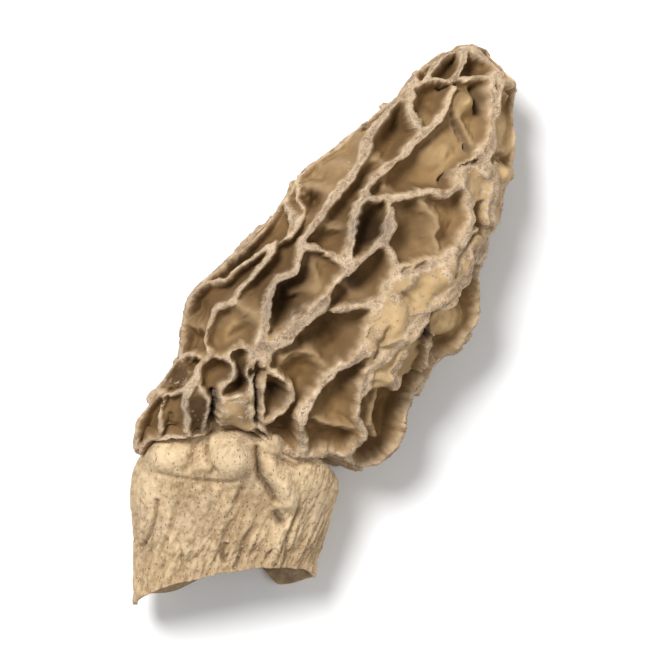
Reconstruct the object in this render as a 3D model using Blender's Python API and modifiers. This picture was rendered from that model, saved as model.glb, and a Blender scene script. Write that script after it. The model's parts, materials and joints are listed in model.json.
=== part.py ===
"""Dried yellow morel, lying on its flatter side: a hollow netted cap and the hollow stem it stands on.

The script works in millimetres and scales each mesh to metres. As the morel is seen from above, X runs to
the right and Y from the cut end of the stem toward the tip of the cap. Z is up from the surface it lies on.
"""

import math
import random

import bmesh
import bpy
import numpy as np
from mathutils import Vector
from mathutils.bvhtree import BVHTree
from mathutils.kdtree import KDTree

MM = 0.001

# Sections of the cap and the stem. Each is: left edge x and y, right edge x and y, height of the mid plane,
# rise of the upper side, drop of the lower side, and how far the upper side bows forward to the tip.
NECK = (-19.4, -14.7, -2.2, -15.8, 9.6, 6.2, 6.2, 3.0)
NECK_TOP = (-19.0, -12.6, -2.6, -13.7, 9.6, 6.0, 6.0, 3.0)
CAP_RIM = (-23.2, -16.6, 4.2, -18.5, 10.0, 8.6, 9.3, 3.2)
CAP_OUTSIDE = (
    CAP_RIM,
    (-24.0, -15.2, 7.4, -17.4, 10.2, 9.6, 10.2, 2.4),
    (-23.9, -13.2, 9.4, -15.6, 10.3, 10.3, 10.6, 1.4),
    (-23.0, -10.5, 10.4, -13.9, 10.4, 10.9, 10.9, 0.6),
    (-21.0, -6.9, 11.0, -10.8, 10.5, 11.3, 11.1, 0.0),
    (-18.6, -3.5, 12.4, -8.0, 10.6, 11.6, 11.2, 0.0),
    (-18.0, 0.1, 14.6, -5.2, 10.7, 11.8, 11.3, 0.0),
    (-17.2, 3.5, 17.6, -3.2, 10.8, 12.0, 11.4, 0.0),
    (-14.2, 6.8, 19.4, 0.7, 10.8, 12.0, 11.4, 0.0),
    (-10.4, 10.3, 19.5, 4.9, 10.7, 11.8, 11.2, 0.0),
    (-6.6, 14.4, 20.4, 9.4, 10.5, 11.3, 10.8, 0.0),
    (-3.6, 18.4, 22.0, 13.3, 10.2, 10.6, 10.2, 0.0),
    (0.8, 22.2, 22.9, 17.2, 9.8, 9.6, 9.4, 0.0),
    (5.2, 25.8, 23.8, 21.4, 9.4, 8.6, 8.4, 0.0),
    (8.6, 28.8, 24.2, 25.6, 9.0, 7.6, 7.4, 0.0),
    (11.4, 31.6, 23.8, 29.2, 8.7, 6.2, 6.2, 0.0),
    (14.2, 33.7, 21.8, 32.4, 8.6, 4.3, 4.3, 0.0),
    (16.3, 34.5, 20.0, 34.0, 8.5, 2.4, 2.4, 0.0),
)
CAP_TIP = (18.2, 34.8, 8.5)
CAP_HOLLOW = (
    (-17.0, -8.4, 2.0, -10.4, 10.1, 5.6, 5.4, 0.0),
    (-13.0, -3.2, 6.6, -6.2, 10.3, 5.7, 5.4, 0.0),
    (-9.6, 4.2, 11.6, 1.2, 10.4, 5.6, 5.2, 0.0),
    (-2.0, 12.2, 12.8, 9.4, 10.2, 3.8, 4.6, 0.0),
    (6.0, 18.6, 15.0, 16.8, 9.6, 2.6, 3.2, 0.0),
)
CAP_HOLLOW_END = (12.0, 20.6, 9.4)
STEM_OUTSIDE = (
    (-23.2, -17.4, 1.2, -18.9, 9.4, 7.6, 7.3, 3.0),
    (-24.0, -19.3, 1.8, -20.0, 8.8, 8.1, 7.9, 1.6),
    (-24.2, -22.6, 1.0, -23.3, 8.2, 7.8, 7.8, 0.6),
    (-23.8, -26.4, 0.0, -27.0, 7.6, 7.4, 7.5, 0.4),
    (-23.9, -30.3, -0.8, -29.0, 7.3, 7.0, 7.3, 1.2),
    (-23.9, -34.8, -0.9, -31.0, 7.1, 6.8, 7.2, 2.3),
)

# The net. Each rib is its half width and the points of its crest in plan, read from the upper side.
CRESTS = {
    "left outline": (0.5, [
        (-17.6, -1.0), (-18.0, 1.0), (-17.5, 2.7), (-15.9, 4.7), (-14.0, 6.5), (-11.2, 8.7),
        (-8.5, 11.1), (-6.5, 13.6), (-5.3, 15.5), (-3.5, 18.1), (-2.2, 19.4), (-0.3, 21.0), (1.8, 22.3),
        (2.8, 23.1), (4.0, 24.7), (4.9, 26.2), (5.9, 27.4), (6.8, 28.0), (8.7, 28.5), (10.8, 29.6)]),
    "tip rim": (0.9, [
        (10.4, 30.0), (11.6, 32.2), (13.4, 34.2), (15.6, 35.1), (18.3, 35.4), (20.8, 34.4),
        (22.6, 32.6), (24.2, 29.9)]),
    "outer strip": (0.45, [
        (-15.5, 4.9), (-13.9, 5.7), (-12.2, 5.5), (-11.3, 6.6), (-9.4, 8.0), (-7.7, 9.1), (-6.3, 10.2),
        (-4.3, 10.8), (-3.8, 12.7), (-4.6, 14.4), (-5.5, 15.8)]),
    "main left head": (0.95, [(10.2, 28.2), (8.5, 27.2), (7.1, 25.7), (6.0, 23.9), (5.2, 22.0)]),
    "main left": (0.6, [
        (5.2, 22.0), (4.3, 19.7), (2.9, 17.5), (1.3, 15.5), (-0.1, 13.6), (-1.5, 11.6), (-2.7, 9.9),
        (-2.9, 8.0), (-3.5, 6.6), (-5.2, 5.5), (-6.3, 3.8), (-6.9, 1.8), (-7.1, -0.4), (-7.1, -2.7)]),
    "middle": (0.6, [
        (16.4, 29.0), (15.3, 27.6), (14.7, 25.9), (13.3, 23.9), (11.6, 22.5), (9.9, 20.9), (8.3, 19.7),
        (6.6, 18.1), (4.6, 16.1), (3.8, 14.4), (3.2, 12.5), (2.9, 10.2), (2.7, 7.7)]),
    "bridge": (0.65, [(4.6, 16.1), (6.0, 15.0), (8.0, 14.4)]),
    "spine foot": (1.0, [(-6.0, -2.6), (-4.9, -1.8), (-3.2, -0.4), (-1.5, 1.0), (-0.1, 2.7)]),
    "spine": (0.65, [
        (-6.6, -2.9), (-4.9, -1.8), (-3.2, -0.4), (-1.5, 1.0), (-0.1, 2.7), (1.3, 4.6), (2.9, 6.3),
        (4.6, 8.0), (6.0, 9.4), (7.1, 11.3), (7.4, 13.0), (8.0, 14.4)]),
    "spine head": (0.7, [
        (8.0, 14.4), (9.7, 15.3), (11.6, 16.0), (13.3, 16.5), (14.9, 15.8), (16.6, 16.7), (17.8, 15.8),
        (18.6, 14.4)]),
    "rung left": (0.45, [(-2.7, 9.9), (-0.7, 9.1), (1.3, 8.1), (3.5, 7.1)]),
    "rung right": (0.4, [(-0.7, 1.3), (1.0, 1.5), (2.9, 1.8), (4.9, 2.0), (6.6, 2.7)]),
    "right crest": (0.6, [
        (9.1, 6.0), (7.7, 4.6), (6.9, 2.9), (6.0, 1.3), (5.2, -1.0), (4.6, -2.9), (3.8, -4.3),
        (2.1, -5.5), (0.7, -6.6), (-0.4, -8.3), (-1.5, -9.4), (-2.4, -11.1), (-2.2, -13.3),
        (-2.3, -15.3), (-2.8, -17.0)]),
    "right crest head": (0.95, [(4.6, -3.4), (3.5, -4.6), (1.9, -5.3), (0.7, -6.4)]),
    "big pit edge": (0.45, [
        (6.9, 10.2), (8.3, 8.8), (9.1, 7.1), (10.8, 6.3), (12.5, 7.1), (15.0, 7.7), (16.4, 9.1),
        (17.8, 11.1), (18.6, 12.7), (18.6, 14.4)]),
    "tip sill": (0.5, [
        (10.8, 29.8), (12.5, 29.8), (14.1, 29.7), (15.8, 29.3), (17.8, 29.8), (19.7, 30.2), (21.1, 30.7)]),
    "tip shoulder": (0.5, [(21.1, 30.7), (22.5, 30.1), (23.7, 29.5)]),
    "tip divider": (0.7, [(17.8, 34.3), (17.2, 32.6), (16.7, 30.9), (16.4, 29.3)]),
    "round pit left": (0.5, [(10.8, 29.8), (10.2, 28.1), (10.5, 26.5), (11.3, 24.8), (12.2, 23.1)]),
    "long pit left": (0.4, [(15.5, 28.1), (16.1, 26.2), (17.2, 24.5), (18.3, 22.8), (19.5, 19.7)]),
    "right band": (1.15, [
        (21.1, 30.7), (21.1, 28.4), (21.1, 26.2), (20.9, 23.9), (20.3, 22.0), (19.5, 19.7)]),
    "fold line": (0.5, [(19.5, 19.7), (17.5, 19.3), (15.8, 18.3), (16.4, 16.7)]),
    "side band": (1.2, [(19.5, 19.7), (20.9, 17.5), (20.8, 14.7), (20.6, 12.5), (20.5, 10.4), (19.6, 8.5)]),
    "long band": (0.85, [
        (20.5, 10.4), (19.6, 8.5), (18.2, 6.7), (16.2, 4.1), (14.1, 2.2), (12.1, 0.4), (10.6, -1.5),
        (8.0, -3.6), (6.1, -5.8), (5.1, -7.6)]),
    "plateau top": (0.6, [
        (7.6, 4.3), (9.2, 6.3), (11.6, 7.3), (14.3, 7.5), (16.1, 8.3), (18.0, 10.1), (19.2, 11.6)]),
    "grey crest": (0.55, [
        (5.1, -7.6), (4.9, -8.8), (4.6, -10.5), (4.9, -12.5), (5.2, -14.1), (4.1, -15.5), (2.4, -17.2)]),
    "tail band": (0.6, [(10.6, -1.5), (9.9, -3.2), (9.2, -5.0), (8.8, -6.6), (9.1, -8.0)]),
    "flap edge": (0.45, [
        (18.6, 8.5), (18.1, 6.0), (16.9, 4.1), (15.8, 2.4), (13.9, 1.3), (13.3, -0.4), (13.9, -1.8),
        (13.0, -3.8), (12.7, -6.0)]),
    "elbow": (0.5, [
        (-6.3, -3.2), (-6.6, -5.8), (-4.9, -6.5), (-3.7, -7.7), (-3.9, -9.4), (-4.9, -10.6),
        (-6.3, -11.8), (-7.3, -13.0)]),
    "cup rim": (0.45, [
        (-7.3, -13.4), (-5.8, -15.0), (-3.9, -15.4), (-2.7, -14.5), (-2.5, -11.8), (-2.5, -10.2),
        (-1.6, -9.2)]),
    "thin fold": (0.35, [
        (-7.2, -3.2), (-8.3, -4.8), (-7.9, -6.5), (-8.4, -8.9), (-8.5, -10.9), (-8.0, -12.8)]),
    "thin fold beside": (0.35, [
        (-6.6, -3.2), (-7.0, -4.8), (-6.8, -6.5), (-7.1, -8.5), (-7.2, -10.4), (-7.5, -12.8)]),
    "strip left": (0.5, [
        (-6.0, 9.9), (-7.1, 8.0), (-8.5, 6.3), (-9.9, 4.6), (-11.1, 2.9), (-12.5, 2.1), (-13.6, 1.0),
        (-14.4, -0.4), (-14.7, -2.1), (-14.1, -3.8)]),
    "shelf": (0.5, [(-17.8, -3.2), (-16.6, -4.2), (-15.5, -5.1)]),
    "curled rib": (0.55, [
        (-15.5, -5.1), (-14.0, -4.2), (-12.2, -4.3), (-11.1, -5.2), (-11.4, -6.3), (-12.4, -7.5),
        (-12.8, -9.4), (-12.4, -11.4), (-12.8, -14.6)]),
    "heel rim": (0.5, [
        (-12.6, -9.2), (-11.1, -8.9), (-9.3, -8.5), (-8.6, -7.5), (-9.2, -6.3), (-9.0, -5.1),
        (-7.8, -3.9), (-6.6, -3.0)]),
    "shelf foot": (0.4, [(-12.2, -4.3), (-10.9, -3.3), (-9.4, -3.2), (-8.0, -3.6)]),
    "lobe top": (0.4, [(-21.5, -7.5), (-19.5, -8.4), (-17.3, -7.8), (-15.5, -6.5)]),
    "lobe left": (0.4, [(-19.5, -8.4), (-19.9, -9.9), (-20.1, -12.8), (-19.8, -15.2)]),
    "lobe rib": (0.45, [(-16.4, -7.1), (-17.3, -8.7), (-17.4, -11.4), (-16.9, -15.3)]),
    "lobe cloth": (0.45, [
        (-15.5, -5.1), (-15.3, -6.6), (-14.5, -8.5), (-13.7, -10.1), (-13.9, -11.8), (-14.6, -14.6)]),
    "tip rim inner": (0.35, [
        (11.6, 30.4), (12.9, 32.2), (14.5, 33.5), (16.2, 34.1), (18.4, 34.2), (20.0, 33.4),
        (21.4, 31.8), (22.2, 30.3)]),
}
# Lower ribs inside the pits, with the share of the pit's depth that each stands up.
SILLS = {
    "small fold": (0.85, [(-3.2, 16.0), (-2.5, 14.6), (-3.1, 12.6), (-3.8, 11.1)]),
    "left sill": (0.6, [(-4.1, 17.8), (-1.0, 17.5), (1.3, 15.8)]),
    "left lip": (0.85, [(-4.8, 16.3), (-4.5, 15.2), (-4.0, 13.8), (-4.2, 12.3), (-4.6, 10.9)]),
    "left branch": (0.75, [(1.4, 17.1), (-0.2, 16.2), (-1.9, 16.0), (-3.3, 16.6)]),
    "shallow sill": (0.5, [(-1.5, 20.0), (1.0, 20.0), (4.3, 19.7)]),
    "slot foot": (0.7, [(3.5, 23.9), (5.2, 23.4), (6.0, 23.9)]),
    "slot head": (0.7, [(7.1, 28.1), (8.8, 27.9), (10.5, 27.9)]),
    "big pit divider": (0.6, [(11.9, 15.8), (13.0, 14.1), (14.4, 12.2), (13.9, 10.2), (15.3, 7.7)]),
    "upper pit sill": (0.5, [(5.2, 20.3), (6.6, 20.3), (8.0, 19.7)]),
    "lower pit sill": (0.5, [(-0.1, 12.5), (1.5, 12.2), (3.2, 12.2)]),
    "pale pit sill": (0.4, [(8.0, 18.9), (7.7, 17.2), (9.1, 15.3)]),
    "tip sliver": (0.5, [(13.6, 33.2), (12.7, 31.8), (12.2, 29.8)]),
    "edge pit head": (0.7, [(21.1, 28.1), (22.3, 28.6), (23.4, 28.1)]),
    "edge pit foot": (0.8, [(20.6, 21.4), (22.0, 20.9), (23.1, 20.6)]),
    "tail rim": (0.8, [(4.9, -8.3), (6.9, -7.7), (9.1, -7.4)]),
    "dark pit head": (0.6, [(4.6, -2.9), (6.9, -2.7)]),
    "lobe line": (0.6, [(6.9, -8.5), (6.6, -10.5), (6.6, -12.5), (7.1, -14.4)]),
    "low fold": (0.5, [(-0.7, -11.3), (0.7, -12.5), (2.1, -13.0), (4.9, -13.9)]),
    "sunken arc": (0.6, [(-4.9, -4.3), (-3.2, -3.6), (-1.5, -3.6), (1.0, -5.5)]),
    "strip foot": (0.8, [(-11.1, 2.9), (-9.9, 2.0), (-8.5, 1.0), (-7.1, -0.4)]),
    "side foot": (0.7, [(-17.5, 0.7), (-16.4, -0.1), (-14.4, -0.4)]),
    "plateau step": (0.5, [(17.2, 17.8), (19.5, 16.1)]),
}
# Skin that fills pits nearly to the crests: the share of the depth that it fills, and its outline.
PATCHES = {
    "plateau": (0.95, [
        (7.2, 4.3), (9.4, 6.6), (11.6, 7.4), (14.6, 7.5), (16.1, 8.3), (18.1, 10.2), (19.6, 11.3),
        (20.3, 9.4), (18.2, 6.7), (16.2, 4.1), (14.1, 2.2), (12.1, 0.4), (10.6, -1.5), (8.0, -3.6),
        (5.9, -5.8), (4.8, -3.6), (5.7, -0.9), (6.1, 2.2)]),
    "plateau tail": (0.7, [(10.6, -1.5), (9.2, -5.0), (8.8, -7.4), (6.2, -7.2), (5.6, -5.6), (8.0, -3.6)]),
    "folded skin": (0.85, [
        (16.0, 18.6), (17.5, 19.4), (19.5, 19.9), (21.4, 18.0), (20.8, 15.0), (18.8, 14.2), (16.6, 16.7)]),
    "heel front": (0.5, [(-12.4, -9.5), (-12.5, -14.8), (-8.0, -14.8), (-8.6, -9.0)]),
    "lobe front": (0.7, [
        (-21.9, -6.8), (-19.5, -8.0), (-17.3, -7.4), (-15.7, -5.8), (-17.6, -3.8), (-20.0, -4.4)]),
    "left skin": (0.55, [
        (4.9, 26.0), (8.0, 27.4), (5.2, 22.0), (1.3, 15.5), (-0.1, 13.6), (-1.2, 13.6), (-0.4, 16.4),
        (-3.8, 17.0), (-1.0, 20.6), (2.6, 23.0)]),
    "side skin": (0.9, [(20.9, 19.8), (24.0, 19.4), (24.0, 9.0), (20.5, 9.0), (20.0, 14.0)]),
}
SILL_HALF_WIDTH = 0.5
RIB_SPACING = 0.3
PATCH_SOFTNESS = 0.9
# Places where the pits are deeper or shallower than the rule gives: x, y, reach and change.
DEPTH_SPOTS = {
    "deep hole": (5.4, 11.3, 2.3, 0.55),
    "long pit head": (-3.6, 3.6, 2.8, 0.4),
    "long pit foot": (-3.8, 0.4, 2.0, 0.35),
    "long pit floor": (-0.6, 4.0, 1.5, -0.45),
    "slot head": (9.4, 25.2, 1.6, 0.25),
    "slot foot": (6.2, 20.8, 2.0, -0.15),
    "pale pit": (15.2, 21.0, 3.4, -0.5),
    "round pit": (12.6, 27.3, 1.6, -0.1),
    "round bump": (12.6, 25.2, 1.2, -0.45),
    "bulge": (16.9, 27.2, 1.7, -0.6),
    "left tip pit": (14.6, 31.8, 1.8, -0.35),
    "right tip pit": (19.0, 32.2, 2.0, -0.35),
    "big pit right": (15.9, 12.0, 2.4, -0.4),
    "upper left": (1.0, 20.5, 3.6, -0.55),
    "upper left foot": (-2.6, 15.2, 2.4, -0.3),
    "strip": (-9.2, 2.8, 3.4, -0.45),
    "strip foot": (-11.0, -1.2, 2.6, -0.35),
    "flap": (16.8, -0.6, 3.0, -0.35),
    "outer pit": (22.8, 24.0, 2.6, -0.5),
    "lobe": (-18.0, -11.0, 4.0, -0.45),
    "heel": (-10.3, -10.0, 2.4, -0.35),
    "curl pocket": (-10.2, -6.6, 1.5, 0.45),
    "shelf pocket": (-9.6, -2.4, 1.8, 0.3),
    "left pocket": (-0.8, 15.2, 1.2, 0.5),
    "shallow oval": (0.4, 18.9, 1.6, 0.4),
    "low pits": (3.0, -11.0, 3.6, -0.2),
}

# The ribs of the lower side follow a rule: long ribs from the rim to the tip, and staggered rungs. The first
# and the last are the edges of the upper side, which its own ribs run out to from within EDGE_REACH degrees.
BACK_RIB_ANGLES = (163, 190, 216, 243, 270, 297, 324, 349, 370)
BACK_RIB_SWAY = 8.0
SIDE_RUNG_SLANT = 5
EDGE_REACH = 20.0
BACK_RIB_HALF_WIDTH = 0.6
BACK_RUNG_SPACING = 9.0
BACK_SHORT_RIB_END = 0.8
SEED = 11

PIT_DEPTH = 4.4
PIT_WALL_REACH = 0.7
CREST_SHOULDER = 0.4
# The floors of the upper side's pits lie this far toward the left and the tip from under their crests.
PIT_LEAN = (-0.9, 0.62)
RIM_FADE = 1.1
TIP_FADE = 2.5
# The wall that is kept between the pits and the hollow.
CAP_WALL = 1.1
# The rim is notched and sunk where the stem swells in front of it: x, half width, shift and share of depth.
RIM_NOTCH = (-10.6, 2.6, 1.0, 0.8)
RIM_NOTCH_REACH = 2.5
CAP_FULLNESS = 2.7
CAP_LEAN = 1.8
DOWNWARD_PITS = 0.9
STEM_FULLNESS = 2.3
STEM_WALL = 1.3
STEM_WRINKLES = 11
STEM_WRINKLE_HEIGHT = 0.14
# The swelling under the rim and the crease beside it, on the stem's upper side: x, y, reach and rise.
STEM_SPOTS = {
    "bulge": (-11.2, -16.8, 2.5, 1.9),
    "left swelling": (-18.8, -17.6, 2.6, 0.8),
    "right band": (-6.2, -17.8, 1.6, 0.8),
    "crease top": (-8.3, -17.4, 1.1, -0.5),
    "crease foot": (-6.8, -19.8, 1.2, -0.6),
}
# The cut edge's lower side lies under the upper one, apart from a lip that flares at the right.
LOWER_CUT_BOW = 2.1
LIP_FLARE = 1.0
LIP_START = -8.5
JOINT_GAP = 0.35
FLAT_CUT = 0.3

CAP_GRID = (190, 240)
STEM_GRID = (22, 56)
CAP_TRIANGLE_SHARE = 0.1

CAP_COLOUR = (0.36, 0.25, 0.14, 1.0)
STEM_COLOUR = (0.62, 0.50, 0.34, 1.0)


def clear_scene():
    for scene_object in list(bpy.data.objects):
        bpy.data.objects.remove(scene_object, do_unlink=True)


def smooth_path(stations, count):
    """Evenly spaced points on a smooth curve through stations of any number of coordinates."""
    stations = np.array(stations, float)
    knots = np.concatenate([[0.0], np.cumsum(np.linalg.norm(np.diff(stations, axis=0), axis=1))])
    slopes = np.gradient(stations, knots, axis=0)
    wanted = np.linspace(0.0, knots[-1], count)
    first = np.clip(np.searchsorted(knots, wanted, side="right") - 1, 0, len(knots) - 2)
    span = (knots[first + 1] - knots[first])[:, None]
    t = (wanted - knots[first])[:, None] / span
    start = (2 * t**3 - 3 * t**2 + 1) * stations[first] + (t**3 - 2 * t**2 + t) * span * slopes[first]
    end = (3 * t**2 - 2 * t**3) * stations[first + 1] + (t**3 - t**2) * span * slopes[first + 1]
    return start + end


def rib_path(points):
    length = sum(math.dist(a, b) for a, b in zip(points, points[1:]))
    count = max(3, round(length / RIB_SPACING))
    return np.linspace(points[0], points[1], count) if len(points) == 2 else smooth_path(points, count)


def widened(section, gap):
    """The same section, larger by the gap all round."""
    left, right = Vector(section[0:2]), Vector(section[2:4])
    outward = (left - right).normalized() * gap
    left += outward
    right -= outward
    height, rise, drop, bow = section[4:]
    return (*left, *right, height, rise + gap, drop + gap, bow)


def rings(sections, angles, fullness, lean=0.0):
    """Section curves as rings by angles by x, y and z, upper side at 90 degrees. Lean lifts the left."""
    left_x, left_y, right_x, right_y, height, rise, drop, bow = np.array(sections, float).T[:, :, None]
    power = 2 / fullness
    across = np.sign(np.cos(angles)) * np.abs(np.cos(angles)) ** power
    upward = np.sign(np.sin(angles)) * np.abs(np.sin(angles)) ** power
    width = np.hypot(right_x - left_x, right_y - left_y)
    forward_x, forward_y = (left_y - right_y) / width, (right_x - left_x) / width
    ahead = bow * np.clip(upward, 0, None) ** 1.5
    x = (left_x + right_x) / 2 + across * (right_x - left_x) / 2 + forward_x * ahead
    y = (left_y + right_y) / 2 + across * (right_y - left_y) / 2 + forward_y * ahead
    z = height + np.where(upward > 0, rise, drop) * upward - lean * across * rise / rise.max()
    return np.stack([x, y, z], axis=-1)


def add_ring_faces(bm, rows):
    for lower, upper in zip(rows, rows[1:]):
        for i in range(len(lower)):
            j = (i + 1) % len(lower)
            bm.faces.new((lower[i], lower[j], upper[j], upper[i]))


def add_pole(bm, ring, point):
    pole = bm.verts.new(point)
    for i in range(len(ring)):
        bm.faces.new((ring[i], ring[(i + 1) % len(ring)], pole))


def mesh_from_grid(name, grid, first_pole=None, last_pole=None):
    """A mesh of stacked rings, in metres, closed by a pole at an end where one is given."""
    bm = bmesh.new()
    rows = [[bm.verts.new(point * MM) for point in ring] for ring in grid]
    add_ring_faces(bm, rows)
    if first_pole is not None:
        add_pole(bm, rows[0], Vector(first_pole) * MM)
    if last_pole is not None:
        add_pole(bm, rows[-1], Vector(last_pole) * MM)
    bmesh.ops.recalc_face_normals(bm, faces=bm.faces)
    mesh = bpy.data.meshes.new(name)
    bm.to_mesh(mesh)
    bm.free()
    return mesh


def surface_tree(grid):
    """A tree of the closed grid's faces, for the nearest point on it or the point straight below."""
    rows, columns = grid.shape[:2]
    points = grid.reshape(-1, 3).tolist()
    faces = []
    for i in range(rows - 1):
        for j in range(columns):
            k = (j + 1) % columns
            faces.append((i * columns + j, i * columns + k, (i + 1) * columns + k, (i + 1) * columns + j))
    return BVHTree.FromPolygons(points, faces)


def dropped(tree, path):
    """Plan points dropped onto the upper side, or moved to its edge where they miss it."""
    placed = []
    for x, y in path:
        hit = tree.ray_cast(Vector((x, y, 100.0)), Vector((0.0, 0.0, -1.0)))[0]
        point = hit or tree.find_nearest(Vector((x, y, CAP_TIP[2])))[0]
        if placed:
            last = placed[-1]
            steps = math.ceil((point - last).length / RIB_SPACING)
            placed += [tree.find_nearest(last.lerp(point, i / steps))[0] for i in range(1, steps)]
        placed.append(point)
    return placed


def carried_round(grid, path):
    """The way from a rib's end near the edge of the plan down the side, to the first long rib below."""
    rows, columns = grid.shape[:2]
    left_edge, right_edge = (round((BACK_RIB_ANGLES[i] % 360) * columns / 360) for i in (0, -1))
    reach = round(EDGE_REACH * columns / 360)
    paths = []
    for end in (path[0], path[-1]):
        away = np.linalg.norm(grid - np.array(end), axis=-1)
        row, column = np.unravel_index(away.argmin(), away.shape)
        if right_edge < column < right_edge + reach:
            route = range(column, right_edge, -1)
        elif left_edge - reach < column < left_edge:
            route = range(column, left_edge)
        else:
            continue
        slant = SIDE_RUNG_SLANT * (-1) ** row
        lower = [min(rows - 1, max(0, row + round(slant * i / len(route)))) for i in range(len(route))]
        paths.append([grid[i, j] for i, j in zip(lower, route)])
    return paths


def back_ribs(grid):
    """Crest points of the lower side: long swaying ribs, and rungs between neighbours."""
    draw = random.Random(SEED)
    rows, columns = grid.shape[:2]
    shares = np.linspace(0.0, 1.0, rows)
    paths = []
    tracks = []
    for number, angle in enumerate(BACK_RIB_ANGLES):
        phase = draw.uniform(0, 2 * math.pi)
        reach = BACK_RIB_SWAY if 180 < angle < 360 else 1.0
        sway = reach * np.sin(draw.uniform(2.5, 4.5) * math.pi * shares + phase) * np.sin(math.pi * shares)
        track = np.round((angle + sway) / 360 * columns).astype(int)
        tracks.append(track)
        last = rows if number % 2 == 0 else int(rows * BACK_SHORT_RIB_END)
        paths.append([grid[i, track[i] % columns] for i in range(2, last)])
    row_length = np.linalg.norm(np.diff(grid[:, columns * 3 // 4], axis=0), axis=1).mean()
    rung_rows = BACK_RUNG_SPACING / row_length
    for number, (left, right) in enumerate(zip(tracks, tracks[1:])):
        row = rung_rows * (0.45 if number % 2 else 0.9)
        while row < rows * 0.92:
            rise = draw.uniform(-0.5, 0.5) * rung_rows
            steps = max(4, abs(right[int(row)] - left[int(row)]))
            rung = []
            for step in range(steps + 1):
                i = min(rows - 1, max(0, round(row + rise * step / steps)))
                j = round(left[i] + (right[i] - left[i]) * step / steps)
                rung.append(grid[i, j % columns])
            paths.append(rung)
            row += rung_rows * draw.uniform(0.8, 1.2)
    return paths


def nearest_rib(grid, ribs):
    """Distance from each grid point to its nearest rib, and the number kept with that rib."""
    tree = KDTree(sum(len(path) for _, path in ribs))
    values = []
    for value, path in ribs:
        for point in path:
            tree.insert(point, len(values))
            values.append(value)
    tree.balance()
    found = [tree.find(point) for point in grid.reshape(-1, 3).tolist()]
    distance = np.array([item[2] for item in found]).reshape(grid.shape[:2])
    value = np.array([values[item[1]] for item in found]).reshape(grid.shape[:2])
    return distance, value


def hollowness(crest, grid):
    """How far each point sinks, as a share: 0 on a crest, rising toward 1 away from the pit's walls."""
    row_step = np.linalg.norm(np.diff(grid, axis=0, append=grid[-1:]), axis=-1) + 1e-3
    column_step = np.linalg.norm(np.roll(grid, -1, axis=1) - grid, axis=-1) + 1e-3
    along = 1 / np.clip(row_step, 0.1, None) ** 2
    around = 1 / np.clip(column_step, 0.1, None) ** 2
    source = 1 / PIT_WALL_REACH**2
    share = np.where(crest, 0.0, 0.5)
    for _ in range(150):
        ends = np.concatenate([share[:1], share[:-1]]) + np.concatenate([share[1:], share[-1:]])
        sides = np.roll(share, 1, axis=1) + np.roll(share, -1, axis=1)
        share = (along * ends + around * sides + source) / (2 * along + 2 * around + source)
        share[crest] = 0.0
    return share


def eased(value):
    value = np.clip(value, 0.0, 1.0)
    return value * value * (3 - 2 * value)


def inward_directions(grid):
    along = np.gradient(grid, axis=0)
    around = np.roll(grid, -1, axis=1) - np.roll(grid, 1, axis=1)
    inward = np.cross(around, along)
    inward /= np.linalg.norm(inward, axis=-1, keepdims=True) + 1e-12
    centre = grid.mean(axis=1, keepdims=True)
    facing = np.sign(((centre - grid) * inward).sum(axis=-1, keepdims=True))
    return inward * facing


def inside_outline(grid, outline):
    """1 well inside an outline as seen from above and 0 outside it."""
    x, y = grid[..., 0, None], grid[..., 1, None]
    corners = np.array(outline, float)
    (x1, y1), (x2, y2) = corners.T, np.roll(corners, -1, axis=0).T
    crossed = ((y1 > y) != (y2 > y)) & (x < (x2 - x1) * (y - y1) / (y2 - y1 + 1e-9) + x1)
    inside = crossed.sum(axis=-1) % 2 == 1
    along = ((x - x1) * (x2 - x1) + (y - y1) * (y2 - y1)) / ((x2 - x1) ** 2 + (y2 - y1) ** 2)
    along = np.clip(along, 0, 1)
    away = np.hypot(x1 + along * (x2 - x1) - x, y1 + along * (y2 - y1) - y).min(axis=-1)
    return eased(0.5 + np.where(inside, away, -away) / PATCH_SOFTNESS)


def wall_room(outside, inside):
    """How far each point of the outside can sink and still leave the wall over the hollow."""
    tree = surface_tree(inside)
    reach = [tree.find_nearest(point)[3] for point in outside.reshape(-1, 3).tolist()]
    return np.clip(np.array(reach).reshape(outside.shape[:2]) - CAP_WALL, 0.0, None)


def pit_depths(grid, from_rim, notch):
    tree = surface_tree(grid)
    crests = [(width, dropped(tree, rib_path(points))) for width, points in CRESTS.values()]
    crests += [(width, side) for width, path in list(crests) for side in carried_round(grid, path)]
    crests += [(BACK_RIB_HALF_WIDTH, path) for path in back_ribs(grid)]
    distance, half_width = nearest_rib(grid, crests)
    beyond = distance - half_width
    depth = PIT_DEPTH * hollowness(beyond < 0, grid) * eased(beyond / CREST_SHOULDER)
    sills = [(height, dropped(tree, rib_path(points))) for height, points in SILLS.values()]
    sills += [(height, side) for height, path in list(sills) for side in carried_round(grid, path)]
    distance, height = nearest_rib(grid, sills)
    depth *= 1 - height * np.exp(-((distance / (2 * SILL_HALF_WIDTH)) ** 2))
    upper = grid[..., 2] > CAP_TIP[2]
    patch = np.zeros(grid.shape[:2])
    for filled, outline in PATCHES.values():
        patch = np.maximum(patch, np.where(upper, filled * inside_outline(grid, outline), 0.0))
    depth *= 1 - patch
    change = np.zeros(grid.shape[:2])
    for x, y, reach, amount in DEPTH_SPOTS.values():
        away = np.hypot(grid[..., 0] - x, grid[..., 1] - y) / reach
        change += np.where(upper, amount * np.exp(-away**2), 0.0)
    depth *= 1 + change
    thickness = np.ptp(grid[..., 2], axis=1)[:, None]
    at_rim = np.maximum(eased(0.2 + from_rim / RIM_FADE), RIM_NOTCH[3] * notch)
    at_tip = eased(0.1 + (from_rim[-1:] - from_rim) / TIP_FADE)
    return np.minimum(depth, 0.36 * thickness) * at_rim * at_tip


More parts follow.
